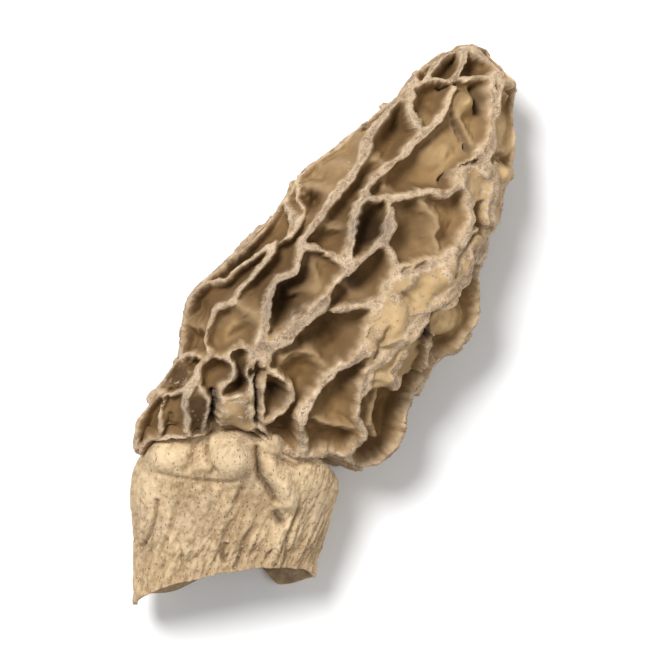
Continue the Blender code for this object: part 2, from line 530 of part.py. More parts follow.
def cap_mesh():
    """Rings from the tip down the pitted outside, round the rim and up the smooth hollow."""
    rows, columns = CAP_GRID
    angles = np.linspace(0, 2 * math.pi, columns, endpoint=False)
    outside = rings(smooth_path(CAP_OUTSIDE, rows), angles, CAP_FULLNESS, CAP_LEAN)
    inward = inward_directions(outside)
    inward[..., 2] -= DOWNWARD_PITS * eased(3 * np.sin(angles))
    inward /= np.linalg.norm(inward, axis=-1, keepdims=True)
    from_rim = np.cumsum(np.linalg.norm(np.diff(outside, axis=0, prepend=outside[:1]), axis=-1), axis=0)
    notch_x, notch_width, notch_shift, _ = RIM_NOTCH
    notch = np.exp(-(((outside[..., 0] - notch_x) / notch_width) ** 4)) * (outside[..., 2] > CAP_TIP[2])
    hole, throat = widened(NECK, JOINT_GAP), widened(NECK_TOP, JOINT_GAP)
    inside = rings(smooth_path((hole, throat, *CAP_HOLLOW), 26), angles, STEM_FULLNESS)
    depth = np.minimum(pit_depths(outside, from_rim, notch), wall_room(outside, inside))
    pitted = outside + inward * depth[..., None]
    pitted[..., :2] += (depth / PIT_DEPTH * eased(2 * np.sin(angles)))[..., None] * PIT_LEAN
    pitted[..., 1] += notch_shift * notch * np.exp(-from_rim / RIM_NOTCH_REACH)
    pitted[..., 2] = np.maximum(pitted[..., 2], -FLAT_CUT)
    underside = np.linspace(pitted[0], inside[0], 7)[1:-1]
    grid = np.concatenate([pitted[::-1], underside, inside])
    return mesh_from_grid("cap", grid, first_pole=CAP_TIP, last_pole=CAP_HOLLOW_END)


def stem_mesh():
    """An open tube with slanting wrinkles, from the cut end up to the neck inside the cap."""
    rows, columns = STEM_GRID
    angles = np.linspace(0, 2 * math.pi, columns, endpoint=False)
    sections = smooth_path((NECK_TOP, NECK, *STEM_OUTSIDE), rows)
    tube = rings(sections, angles, STEM_FULLNESS)
    share = np.linspace(0.0, 1.0, rows)[:, None]
    wrinkle = np.sin(STEM_WRINKLES * angles + 3.0 * share + 1.3 * np.sin(3 * angles + 5 * share))
    sunk = STEM_WRINKLE_HEIGHT * eased((share - 0.25) / 0.2) * (1 + wrinkle)
    swelling = np.zeros(tube.shape[:2])
    for x, y, reach, rise in STEM_SPOTS.values():
        away = np.hypot(tube[..., 0] - x, tube[..., 1] - y) / reach
        swelling += np.where(np.sin(angles) > 0, rise * np.exp(-away**2), 0.0) * eased((share - 0.2) / 0.1)
    tube += inward_directions(tube) * sunk[..., None]
    tube[..., 2] += swelling
    under = eased((share - 0.7) / 0.3) * np.clip(-np.sin(angles), 0, None) ** 0.8
    right = eased((tube[..., 0] - LIP_START) / 3.0)
    tube[..., 1] += under * (LOWER_CUT_BOW * (1 - right) - LIP_FLARE * right)
    tube[..., 2] = np.maximum(tube[..., 2], -FLAT_CUT)
    return mesh_from_grid("stem", tube)


def principled(name, colour, roughness):
    material = bpy.data.materials.new(name)
    material.use_nodes = True
    shader = material.node_tree.nodes["Principled BSDF"]
    shader.inputs["Base Color"].default_value = colour
    shader.inputs["Roughness"].default_value = roughness
    shader.inputs["Metallic"].default_value = 0.0
    material.diffuse_color = colour
    return material


def add_object(name, mesh, collection):
    made = bpy.data.objects.new(name, mesh)
    collection.objects.link(made)
    return made


def add_collection(name):
    collection = bpy.data.collections.new(name)
    bpy.context.scene.collection.children.link(collection)
    return collection


def add_ground_cutter(collection):
    """A slab whose top is the surface the morel lies on. It trims the lowest crests flat."""
    bpy.ops.mesh.primitive_cube_add(size=1.0, location=(0.0, 0.0, -5 * MM))
    cutter = bpy.context.object
    cutter.name = "ground_cutter"
    cutter.scale = (90 * MM, 110 * MM, 10 * MM)
    for owner in list(cutter.users_collection):
        owner.objects.unlink(cutter)
    collection.objects.link(cutter)
    cutter.hide_render = True
    cutter.display_type = "WIRE"
    return cutter


def trim_flat(made, cutter):
    trim = made.modifiers.new("Lying flats", "BOOLEAN")
    trim.operation = "DIFFERENCE"
    trim.solver = "EXACT"
    trim.object = cutter


def add_cap(collection, cutter):
    cap = add_object("cap", cap_mesh(), collection)
    cap.data.materials.append(principled("Netted cap", CAP_COLOUR, 0.7))
    thin = cap.modifiers.new("Fewer faces", "DECIMATE")
    thin.ratio = CAP_TRIANGLE_SHARE
    trim_flat(cap, cutter)


def add_stem(collection, cutter):
    stem = add_object("stem", stem_mesh(), collection)
    stem.data.materials.append(principled("Granular stem", STEM_COLOUR, 0.85))
    wall = stem.modifiers.new("Stem wall", "SOLIDIFY")
    wall.thickness = STEM_WALL * MM
    wall.offset = -1.0
    trim_flat(stem, cutter)


def main():
    clear_scene()
    morel = add_collection("dried_morel")
    cutters = add_collection("cutters")
    cutter = add_ground_cutter(cutters)
    add_cap(morel, cutter)
    add_stem(morel, cutter)


main()
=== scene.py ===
import json
import math
import random

import bpy
import numpy as np
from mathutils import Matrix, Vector, noise
from mathutils.bvhtree import BVHTree
from mathutils.kdtree import KDTree

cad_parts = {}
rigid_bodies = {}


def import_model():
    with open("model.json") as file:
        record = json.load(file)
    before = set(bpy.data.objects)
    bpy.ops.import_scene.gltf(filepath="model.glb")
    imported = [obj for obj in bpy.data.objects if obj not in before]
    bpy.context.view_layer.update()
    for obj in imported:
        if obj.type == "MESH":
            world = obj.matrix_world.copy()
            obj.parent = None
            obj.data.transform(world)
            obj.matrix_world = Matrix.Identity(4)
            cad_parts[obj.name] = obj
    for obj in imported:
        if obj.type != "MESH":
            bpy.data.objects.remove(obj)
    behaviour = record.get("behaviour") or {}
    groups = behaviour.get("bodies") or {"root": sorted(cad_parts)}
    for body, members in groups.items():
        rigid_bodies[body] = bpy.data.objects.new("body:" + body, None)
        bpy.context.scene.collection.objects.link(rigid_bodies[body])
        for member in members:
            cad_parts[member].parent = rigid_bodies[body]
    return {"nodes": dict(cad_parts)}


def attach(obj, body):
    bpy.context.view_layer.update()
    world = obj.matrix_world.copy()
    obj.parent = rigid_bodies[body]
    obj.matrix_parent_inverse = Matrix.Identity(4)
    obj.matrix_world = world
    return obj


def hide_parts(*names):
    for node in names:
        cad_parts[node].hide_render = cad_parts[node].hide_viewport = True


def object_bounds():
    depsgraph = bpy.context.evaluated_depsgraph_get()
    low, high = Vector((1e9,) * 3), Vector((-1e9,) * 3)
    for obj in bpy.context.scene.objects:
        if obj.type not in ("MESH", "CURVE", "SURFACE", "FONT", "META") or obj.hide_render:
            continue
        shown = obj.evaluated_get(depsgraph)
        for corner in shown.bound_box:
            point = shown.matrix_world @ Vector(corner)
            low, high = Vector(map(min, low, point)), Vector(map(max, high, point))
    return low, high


mm = 0.001
seedStep = 7.31
greys = {"black": (0.0, 0.0, 0.0), "white": (1.0, 1.0, 1.0)}

for leftover in list(bpy.data.objects):
    bpy.data.objects.remove(leftover, do_unlink=True)
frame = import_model()
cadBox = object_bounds()
print("frame loaded:", sorted(frame["nodes"]))


# Curves and section rings, by the same rules as the solids

def smoothPath(stations, count):
    stations = np.array(stations, float)
    knots = np.concatenate([[0.0], np.cumsum(np.linalg.norm(np.diff(stations, axis=0), axis=1))])
    slopes = np.gradient(stations, knots, axis=0)
    wanted = np.linspace(0.0, knots[-1], count)
    first = np.clip(np.searchsorted(knots, wanted, side="right") - 1, 0, len(knots) - 2)
    span = (knots[first + 1] - knots[first])[:, None]
    t = (wanted - knots[first])[:, None] / span
    start = (2 * t**3 - 3 * t**2 + 1) * stations[first] + (t**3 - 2 * t**2 + t) * span * slopes[first]
    end = (3 * t**2 - 2 * t**3) * stations[first + 1] + (t**3 - t**2) * span * slopes[first + 1]
    return start + end


def eased(value):
    value = np.clip(value, 0.0, 1.0)
    return value * value * (3 - 2 * value)


def fadeIn(values, start, length):
    return eased((values - start) / length)


# A section is: left edge x and y, right edge x and y, mid height, rise, drop, and the upper side's bow
def widened(section, gap):
    left, right = Vector(section[0:2]), Vector(section[2:4])
    outward = (left - right).normalized() * gap
    left += outward
    right -= outward
    height, rise, drop, bow = section[4:]
    return (*left, *right, height, rise + gap, drop + gap, bow)


def sectionRings(sections, angles, fullness, lean=0.0):
    leftX, leftY, rightX, rightY, height, rise, drop, bow = np.array(sections, float).T[:, :, None]
    power = 2 / fullness
    across = np.sign(np.cos(angles)) * np.abs(np.cos(angles)) ** power
    upward = np.sign(np.sin(angles)) * np.abs(np.sin(angles)) ** power
    width = np.hypot(rightX - leftX, rightY - leftY)
    forwardX, forwardY = (leftY - rightY) / width, (rightX - leftX) / width
    ahead = bow * np.clip(upward, 0, None) ** 1.5
    x = (leftX + rightX) / 2 + across * (rightX - leftX) / 2 + forwardX * ahead
    y = (leftY + rightY) / 2 + across * (rightY - leftY) / 2 + forwardY * ahead
    z = height + np.where(upward > 0, rise, drop) * upward - lean * across * rise / rise.max()
    return np.stack([x, y, z], axis=-1)


def evenAngles(section, columns, fullness, upperWeight, fineSteps=4001):
    # Even steps round the curve, closer together on the upper side
    fine = np.linspace(0, 2 * math.pi, fineSteps)
    curve = sectionRings([section], fine, fullness)[0]
    steps = np.linalg.norm(np.diff(curve, axis=0), axis=1)
    steps *= np.where(np.sin((fine[1:] + fine[:-1]) / 2) > 0, upperWeight, 1.0)
    reached = np.concatenate([[0.0], np.cumsum(steps)])
    return np.interp(np.arange(columns) / columns * reached[-1], reached, fine)


def inwardDirections(grid):
    along = np.gradient(grid, axis=0)
    around = np.roll(grid, -1, axis=1) - np.roll(grid, 1, axis=1)
    inward = np.cross(around, along)
    inward /= np.linalg.norm(inward, axis=-1, keepdims=True) + 1e-12
    centre = grid.mean(axis=1, keepdims=True)
    facing = np.sign(((centre - grid) * inward).sum(axis=-1, keepdims=True))
    return inward * facing


def waves(points, size, seed):
    # Smooth noise from about -1 to 1, with features of that size
    places = (points.reshape(-1, 3) / size + seedStep * seed).tolist()
    return np.array([noise.noise(place) for place in places]).reshape(points.shape[:-1])


def waveSum(points, *layers):
    # Smooth noises added up, each with its height, size and seed
    return sum(height * waves(points, size, seed) for height, size, seed in layers)


def someOf(points, start, size, seed):
    # 1 in some places and 0 in others, by smooth noise. A higher start gives more places.
    return eased(start + waves(points, size, seed))


def gridMesh(name, grid, shares, firstPole=None, lastPole=None, closed=False):
    # Stacked rings as one mesh, with each share kept as a named attribute. A pole gets its ring's mean.
    rows, columns = grid.shape[:2]
    points = (grid.reshape(-1, 3) * mm).tolist()
    corner = np.arange(rows * columns).reshape(rows, columns)
    following = np.roll(corner, -1, axis=1)
    above, aboveFollowing = np.roll(corner, -1, axis=0), np.roll(following, -1, axis=0)
    quads = np.stack([corner, following, aboveFollowing, above], axis=-1)
    faces = quads[: rows if closed else rows - 1].reshape(-1, 4).tolist()
    poles = [(pole, row) for pole, row in ((firstPole, 0), (lastPole, -1)) if pole is not None]
    for pole, row in poles:
        points.append([value * mm for value in pole])
        turn = corner[row] if row == 0 else corner[row][::-1]
        faces += [[int(b), int(a), len(points) - 1] for a, b in zip(turn, np.roll(turn, -1))]
    mesh = bpy.data.meshes.new(name)
    mesh.from_pydata(points, [], faces)
    for key, values in shares.items():
        means = [values[row].mean() for pole, row in poles]
        kept = np.concatenate([values.ravel(), means]).astype(np.float32)
        mesh.attributes.new(key, "FLOAT", "POINT").data.foreach_set("value", kept)
    mesh.shade_smooth()
    return mesh


def outwardFaces(mesh):
    # Turns the faces round if the volume they enclose comes out negative
    corners = np.empty(len(mesh.vertices) * 3)
    mesh.vertices.foreach_get("co", corners)
    corners = corners.reshape(-1, 3)
    mesh.calc_loop_triangles()
    triangles = np.empty(len(mesh.loop_triangles) * 3, np.int32)
    mesh.loop_triangles.foreach_get("vertices", triangles)
    a, b, c = corners[triangles.reshape(-1, 3)].transpose(1, 0, 2)
    if (a * np.cross(b, c)).sum() < 0:
        mesh.flip_normals()
    return mesh


def addObject(name, mesh):
    made = bpy.data.objects.new(name, mesh)
    bpy.context.scene.collection.objects.link(made)
    return made


# Small helpers for node trees

def addNode(tree, kind, inputs=None, **settings):
    made = tree.nodes.new(kind)
    for key, value in settings.items():
        setattr(made, key, value)
    for key, value in (inputs or {}).items():
        if isinstance(value, bpy.types.NodeSocket):
            tree.links.new(value, made.inputs[key])
        else:
            made.inputs[key].default_value = value
    return made


def calc(tree, operation, *values, clamp=False):
    made = addNode(tree, "ShaderNodeMath", dict(enumerate(values)), operation=operation, use_clamp=clamp)
    return made.outputs[0]


def product(tree, first, second, clamp=False):
    return calc(tree, "MULTIPLY", first, second, clamp=clamp)


def scaled(tree, value, gainAndOffset, clamp=False):
    return calc(tree, "MULTIPLY_ADD", value, *gainAndOffset, clamp=clamp)


def blended(tree, share, first, second):
    # The second is a socket or a colour
    second = (*second, 1.0) if isinstance(second, tuple) else second
    made = addNode(tree, "ShaderNodeMix", {0: share, 6: first, 7: second}, data_type="RGBA")
    return made.outputs[2]


def ramp(tree, value, stops, colours):
    # The stops give each colour's place on the ramp
    made = addNode(tree, "ShaderNodeValToRGB", {0: value})
    points = made.color_ramp.elements
    while len(points) < len(stops):
        points.new(0.5)
    for point, (key, place) in zip(points, stops.items()):
        point.position = place
        point.color = (*colours[key], 1.0)
    return made.outputs[0]


def noisy(tree, place, size, detail=3.0, roughness=0.55):
    # Noise from 0 to 1 with features of a size in millimetres
    made = addNode(tree, "ShaderNodeTexNoise", {
        "Vector": place, "Scale": 1 / (size * mm), "Detail": detail, "Roughness": roughness})
    return made.outputs[0]


def attribute(tree, name):
    return addNode(tree, "ShaderNodeAttribute", attribute_name=name).outputs["Fac"]


def addBump(tree, shader, height, strength, depth):
    bump = addNode(tree, "ShaderNodeBump", {"Height": height, "Strength": strength, "Distance": depth * mm})
    tree.links.new(bump.outputs[0], shader.inputs["Normal"])


def startMaterial(name):
    material = bpy.data.materials.new(name)
    material.use_nodes = True
    tree = material.node_tree
    place = addNode(tree, "ShaderNodeTexCoord").outputs["Object"]
    return material, tree, tree.nodes["Principled BSDF"], place


def startTree(name, inputs):
    # A geometry tree with named inputs, and the identifiers by which a modifier sets them
    tree = bpy.data.node_groups.new(name, "GeometryNodeTree")
    sockets = {}
    for key, kind, value in (("Geometry", "Geometry", None), *inputs):
        made = tree.interface.new_socket(key, in_out="INPUT", socket_type="NodeSocket" + kind)
        if value is not None:
            made.default_value = value
        sockets[key] = made.identifier
    tree.interface.new_socket("Geometry", in_out="OUTPUT", socket_type="NodeSocketGeometry")
    return tree, sockets, addNode(tree, "NodeGroupInput").outputs


def storedShare(tree, name):
    made = addNode(tree, "GeometryNodeInputNamedAttribute", {"Name": name}, data_type="FLOAT")
    return made.outputs["Attribute"]


# Cap: the shape of its outside and of its hollow

capShape = {
    "rows": 262,
    "columns": 320,
    "upperWeight": 2.2,
    "fullness": 2.7,
    "lean": 1.8,
    "hollowFullness": 2.3,
    "neckGap": 0.1,
    "pitDepth": 4.3,
    "pitWallReach": 0.55,
    "crestShoulder": 0.28,
    "downwardPits": 0.9,
    "rimFade": (-0.22, 1.1),  # where the pits begin behind the rim
    "rimCrest": 0.6,
    "rimReach": 2.5,
    "rimNotch": (-10.6, 2.6, 1.0, 0.8),  # x, half width, shift and depth
    "rimLip": (-2.6, 3.8, -1.8),  # x, half width and shift
    "rimFrill": (0.35, 2.2, 17),
    "tipFade": (-0.16, 1.6),
    "tipReach": 0.9,
    "tipRings": 7,
    "tipKnot": 0.5,
    "wall": 0.8,
    "pitShareOfThickness": 0.36,
    "hollowRows": 22,
    "joiningRows": 6,
    "hollowWaves": ((0.15, 1.6, 14), (0.2, 5.0, 15)),
    "outside": [
        (-23.2, -16.6, 4.2, -18.5, 10.0, 8.6, 9.3, 3.2), (-24.0, -15.2, 7.4, -17.4, 10.2, 9.6, 10.2, 2.4),
        (-23.9, -13.2, 9.4, -15.6, 10.3, 10.3, 10.6, 1.4),
        (-23.0, -10.5, 10.4, -13.9, 10.4, 10.9, 10.9, 0.6),
        (-21.0, -6.9, 11.0, -10.8, 10.5, 11.3, 11.1, 0.0), (-18.6, -3.5, 12.4, -8.0, 10.6, 11.6, 11.2, 0.0),
        (-18.0, 0.1, 14.6, -5.2, 10.7, 11.8, 11.3, 0.0), (-17.2, 3.5, 17.6, -3.2, 10.8, 12.0, 11.4, 0.0),
        (-14.2, 6.8, 19.4, 0.7, 10.8, 12.0, 11.4, 0.0), (-10.4, 10.3, 19.5, 4.9, 10.7, 11.8, 11.2, 0.0),
        (-6.6, 14.4, 20.4, 9.4, 10.5, 11.3, 10.8, 0.0), (-3.6, 18.4, 22.0, 13.3, 10.2, 10.6, 10.2, 0.0),
        (0.8, 22.2, 22.9, 17.2, 9.8, 9.6, 9.4, 0.0), (5.2, 25.8, 23.8, 21.4, 9.4, 8.6, 8.4, 0.0),
        (8.6, 28.8, 24.2, 25.6, 9.0, 7.6, 7.4, 0.0), (11.4, 31.6, 23.8, 29.2, 8.7, 6.2, 6.2, 0.0),
        (14.2, 33.7, 21.8, 32.4, 8.6, 4.3, 4.3, 0.0), (16.3, 34.5, 20.0, 34.0, 8.5, 2.4, 2.4, 0.0),
    ],
    "tip": (18.2, 34.8, 8.5),
    "hollow": [
        (-17.0, -8.4, 2.0, -10.4, 10.1, 5.6, 5.4, 0.0), (-13.0, -3.2, 6.6, -6.2, 10.3, 5.7, 5.4, 0.0),
        (-9.6, 4.2, 11.6, 1.2, 10.4, 5.6, 5.2, 0.0), (-2.0, 12.2, 12.8, 9.4, 10.2, 3.8, 4.6, 0.0),
        (6.0, 18.6, 15.0, 16.8, 9.6, 2.6, 3.2, 0.0),
    ],
    "hollowEnd": (12.0, 20.6, 9.4),
    "neck": (-19.4, -14.7, -2.2, -15.8, 9.6, 6.2, 6.2, 3.0),
    "neckTop": (-19.0, -12.6, -2.6, -13.7, 9.6, 6.0, 6.0, 3.0),
}

# The net on the upper side: each rib's half width and the points of its crest, as seen from above
netRibs = {
    "leftOutline": (0.36, [
        (-17.6, -1.0), (-18.0, 1.0), (-17.5, 2.7), (-15.9, 4.7), (-14.0, 6.5), (-11.2, 8.7), (-8.5, 11.1),
        (-6.5, 13.6), (-5.3, 15.5), (-3.5, 18.1), (-2.2, 19.4), (-0.3, 21.0), (1.8, 22.3), (2.8, 23.1),
        (4.0, 24.7), (4.9, 26.2), (5.9, 27.4), (6.8, 28.0), (8.7, 28.5), (10.8, 29.6)]),
    "tipRim": (0.75, [
        (10.4, 30.0), (11.6, 32.2), (13.4, 34.2), (15.6, 35.1), (18.3, 35.4), (20.8, 34.4), (22.6, 32.6),
        (24.2, 29.9)]),
    "outerStrip": (0.36, [
        (-15.5, 4.9), (-13.9, 5.7), (-12.2, 5.5), (-11.3, 6.6), (-9.4, 8.0), (-7.7, 9.1), (-6.3, 10.2),
        (-4.3, 10.8), (-3.8, 12.7), (-4.6, 14.4), (-5.5, 15.8)]),
    "mainLeftHead": (0.95, [(10.2, 28.2), (8.5, 27.2), (7.1, 25.7), (6.0, 23.9), (5.2, 22.0)]),
    "mainLeft": (0.6, [
        (5.2, 22.0), (4.3, 19.7), (2.9, 17.5), (1.3, 15.5),
        (-0.1, 13.6), (-1.5, 11.6), (-2.7, 9.9), (-2.9, 8.0), (-3.5, 6.6), (-5.2, 5.5), (-6.3, 3.8),
        (-6.9, 1.8), (-7.1, -0.4), (-7.1, -2.7)]),
    "middle": (0.5, [
        (16.4, 29.0), (15.3, 27.6), (14.7, 25.9), (13.3, 23.9), (11.6, 22.5), (9.9, 20.9), (8.3, 19.7),
        (6.6, 18.1), (4.8, 16.1)]),
    "middleFoot": (0.6, [
        (4.8, 16.1), (4.2, 15.0), (3.8, 13.8), (3.5, 12.4), (3.4, 11.0), (3.3, 9.6), (3.0, 8.2),
        (2.7, 7.0)]),
    "bridge": (0.6, [(4.8, 16.1), (6.2, 15.2), (8.2, 14.9)]),
    "spineFoot": (1.0, [(-6.0, -2.6), (-4.9, -1.8), (-3.2, -0.4), (-1.5, 1.0), (-0.1, 2.7)]),
    "spine": (0.56, [
        (-6.6, -2.9), (-4.9, -1.8), (-3.2, -0.4), (-1.5, 1.0), (-0.1, 2.7), (1.3, 4.6), (2.9, 6.3),
        (4.7, 7.8),
        (6.2, 9.2), (7.3, 10.8), (7.9, 12.3), (8.1, 13.4), (8.2, 14.8)]),
    "spineNeck": (0.95, [(7.2, 10.8), (7.9, 12.2), (8.2, 13.8)]),
    "spineHead": (0.52, [
        (8.2, 14.8), (9.7, 15.3), (11.6, 16.0), (13.3, 16.5), (14.9, 15.8), (16.6, 16.7), (17.8, 15.8),
        (18.6, 14.4)]),
    "rungLeft": (0.45, [(-2.7, 9.9), (-0.7, 9.1), (1.3, 8.1), (3.5, 7.1)]),
    "rungRight": (0.4, [(-0.7, 1.3), (1.0, 1.5), (2.9, 1.8), (4.9, 2.0), (6.6, 2.7)]),
    "rightCrest": (0.38, [
        (9.1, 6.0), (7.7, 4.6), (6.9, 2.9), (6.0, 1.3), (5.2, -1.0), (4.6, -2.9), (3.8, -4.3), (2.1, -5.5),
        (0.7, -6.6), (-0.4, -8.3), (-1.5, -9.4), (-2.4, -11.1), (-2.2, -13.3), (-2.3, -15.3),
        (-2.8, -17.0)]),
    "rightCrestHead": (0.85, [(4.6, -3.4), (3.5, -4.6), (1.9, -5.3), (0.7, -6.4)]),
    "bigPitEdge": (0.45, [
        (6.9, 10.2), (8.3, 8.8), (9.1, 7.1), (10.8, 6.3), (12.5, 7.1), (15.0, 7.7), (16.4, 9.1),
        (17.8, 11.1),
        (18.6, 12.7), (18.6, 14.4)]),
    "tipSill": (0.34, [
        (10.8, 29.6), (12.5, 29.9), (14.1, 30.1), (15.8, 30.0), (17.8, 30.2), (19.7, 30.6), (21.1, 30.7)]),
    "tipShoulder": (0.5, [(21.1, 30.7), (22.5, 30.1), (23.7, 29.5)]),
    "tipDivider": (0.6, [(17.6, 34.0), (17.4, 33.0), (17.0, 31.8), (16.4, 30.2)]),
    "roundPitLeft": (0.5, [(10.8, 29.8), (10.2, 28.1), (10.5, 26.5), (11.3, 24.8), (12.2, 23.1)]),
    "rightBand": (1.15, [
        (21.1, 30.7), (21.1, 28.4), (21.1, 26.2), (20.9, 23.9), (20.3, 22.0), (19.5, 19.7)]),
    "foldLine": (0.5, [(19.5, 19.7), (17.5, 19.3), (15.8, 18.3), (16.4, 16.7)]),
    "sideBand": (1.2, [(19.5, 19.7), (20.9, 17.5), (20.8, 14.7), (20.6, 12.5), (20.5, 10.4), (19.6, 8.5)]),
    "longBand": (0.85, [
        (20.5, 10.4), (19.6, 8.5), (18.2, 6.7), (16.2, 4.1), (14.1, 2.2), (12.1, 0.4), (10.6, -1.5),
        (8.0, -3.6), (6.1, -5.8), (5.1, -7.6)]),
    "plateauTop": (0.4, [
        (7.6, 4.3), (9.2, 6.3), (11.6, 7.3), (14.3, 7.5), (16.1, 8.3), (18.0, 10.1), (19.2, 11.6)]),
    "greyCrest": (0.55, [
        (5.1, -7.6), (4.9, -8.8), (4.6, -10.5), (4.9, -12.5), (5.2, -14.1), (4.1, -15.5), (2.4, -17.2)]),
    "tailBand": (0.6, [(10.6, -1.5), (9.9, -3.2), (9.2, -5.0), (8.8, -6.6), (9.1, -8.0)]),
    "flapEdge": (0.45, [
        (18.6, 8.5), (18.1, 6.0), (16.9, 4.1), (15.8, 2.4), (13.9, 1.3), (13.3, -0.4), (13.9, -1.8),
        (13.0, -3.8), (12.7, -6.0)]),
    "elbow": (0.32, [
        (-6.3, -3.2), (-6.6, -5.8), (-4.9, -6.5), (-3.7, -7.7), (-3.9, -9.4), (-4.9, -10.6), (-6.3, -11.8),
        (-7.3, -13.0)]),
    "cupRim": (0.34, [
        (-7.3, -13.4), (-5.8, -15.0), (-3.9, -15.4), (-2.7, -14.5), (-2.5, -11.8), (-2.5, -10.2),
        (-1.6, -9.2)]),
    "thinFold": (0.28, [
        (-7.2, -3.2), (-8.3, -4.8), (-7.9, -6.5), (-8.4, -8.9), (-8.5, -10.9), (-8.0, -12.8)]),
    "thinFoldBeside": (0.28, [
        (-6.6, -3.2), (-7.0, -4.8), (-6.8, -6.5), (-7.1, -8.5), (-7.2, -10.4), (-7.5, -12.8)]),
    "stripLeft": (0.42, [
        (-6.0, 9.9), (-7.1, 8.0), (-8.5, 6.3), (-9.9, 4.6), (-11.1, 2.9), (-12.5, 2.1), (-13.6, 1.0),
        (-14.4, -0.4), (-14.7, -2.1), (-14.1, -3.8)]),
    "shelf": (0.35, [(-19.0, -4.2), (-17.0, -3.7), (-15.2, -4.1), (-14.6, -4.6)]),
    "curledRib": (0.3, [
        (-15.5, -5.1), (-14.0, -4.2), (-12.2, -4.3), (-11.1, -5.2), (-11.4, -6.3), (-12.4, -7.5),
        (-12.8, -9.4),
        (-12.4, -11.4), (-12.8, -14.6)]),
    "heelRim": (0.3, [
        (-12.6, -9.2), (-11.1, -8.9), (-9.3, -8.5), (-8.6, -7.5), (-9.2, -6.3), (-9.0, -5.1), (-7.8, -3.9),
        (-6.6, -3.0)]),
    "shelfFoot": (0.3, [(-12.2, -4.3), (-10.9, -3.3), (-9.4, -3.2), (-8.0, -3.6)]),
    "lobeTop": (0.3, [(-21.5, -7.5), (-19.5, -8.4), (-17.3, -7.8), (-15.5, -6.5)]),
    "lobeLeft": (0.28, [(-19.8, -8.3), (-20.2, -9.9), (-20.2, -12.8), (-19.9, -15.2)]),
    "lobeRib": (0.42, [(-15.8, -7.0), (-16.8, -8.9), (-16.6, -11.6), (-16.4, -15.2)]),
    "lobeCloth": (0.3, [
        (-15.5, -5.1), (-15.3, -6.6), (-14.5, -8.5), (-13.7, -10.1), (-13.9, -11.8), (-14.6, -14.6)]),
    "leftFold": (0.24, [(-4.8, 16.4), (-4.7, 14.0), (-4.6, 12.4), (-4.5, 11.0)]),
    "leftFoldBeside": (0.26, [(-3.7, 16.9), (-3.5, 15.8), (-2.7, 14.3), (-3.1, 12.4), (-4.3, 11.0)]),
    "tipRimInner": (0.6, [
        (12.3, 30.2), (12.8, 31.5), (13.8, 32.8), (15.2, 33.6), (16.6, 34.0), (18.1, 34.0), (19.4, 33.6),
        (20.6, 32.8), (21.5, 31.6), (21.4, 30.8)]),
}

# Lower ribs inside the pits: the share of the pit's depth that each stands up, and its points
netSills = {
    "palePitSide": (0.5, [(16.4, 25.4), (17.2, 24.3), (18.2, 22.9), (19.0, 21.0), (19.4, 19.8)]),
    "longPitFold": (0.35, [(-0.8, 7.2), (-0.4, 5.6), (-1.5, 4.2), (-3.0, 3.2)]),
    "underSpineFold": (0.3, [(3.4, 4.6), (4.7, 3.4), (5.6, 3.2)]),
    "pocketLip": (0.55, [(-4.2, 17.0), (-2.6, 17.4), (-0.9, 17.4), (0.6, 16.7)]),
    "pocketFoot": (0.45, [(-3.0, 13.9), (-1.9, 13.4), (-0.9, 13.3)]),
    "shallowSill": (0.6, [(-1.4, 20.2), (0.6, 20.0), (2.6, 19.6), (4.3, 19.7)]),
    "shallowSillAbove": (0.5, [(1.9, 22.4), (3.2, 22.7), (4.6, 22.4)]),
    "slotFoot": (0.7, [(3.5, 23.9), (5.2, 23.4), (6.0, 23.9)]),
    "slotHead": (0.7, [(7.1, 28.1), (8.8, 27.9), (10.5, 27.9)]),
    "bigPitDivider": (0.6, [(11.9, 15.8), (13.0, 14.1), (14.4, 12.2), (13.9, 10.2), (15.3, 7.7)]),
    "upperPitSill": (0.5, [(5.2, 20.3), (6.6, 20.3), (8.0, 19.7)]),
    "lowerPitSill": (0.5, [(-0.1, 12.5), (1.5, 12.2), (3.2, 12.2)]),
    "palePitSill": (0.4, [(8.0, 18.9), (7.7, 17.2), (9.1, 15.3)]),
    "edgePitHead": (0.7, [(21.1, 28.1), (22.3, 28.6), (23.4, 28.1)]),
    "edgePitFoot": (0.8, [(20.6, 21.4), (22.0, 20.9), (23.1, 20.6)]),
    "tailRim": (0.8, [(4.9, -8.3), (6.9, -7.7), (9.1, -7.4)]),
    "darkPitHead": (0.6, [(4.6, -2.9), (6.9, -2.7)]),
    "lobeLine": (0.6, [(6.9, -8.5), (6.6, -10.5), (6.6, -12.5), (7.1, -14.4)]),
    "lowFold": (0.5, [(-0.7, -11.3), (0.7, -12.5), (2.1, -13.0), (4.9, -13.9)]),
    "sunkenArc": (0.6, [(-4.9, -4.3), (-3.2, -3.6), (-1.5, -3.6), (1.0, -5.5)]),
    "stripFoot": (0.8, [(-11.1, 2.9), (-9.9, 2.0), (-8.5, 1.0), (-7.1, -0.4)]),
    "sideFoot": (0.7, [(-17.5, 0.7), (-16.4, -0.1), (-14.4, -0.4)]),
    "plateauStep": (0.5, [(17.2, 17.8), (19.5, 16.1)]),
}

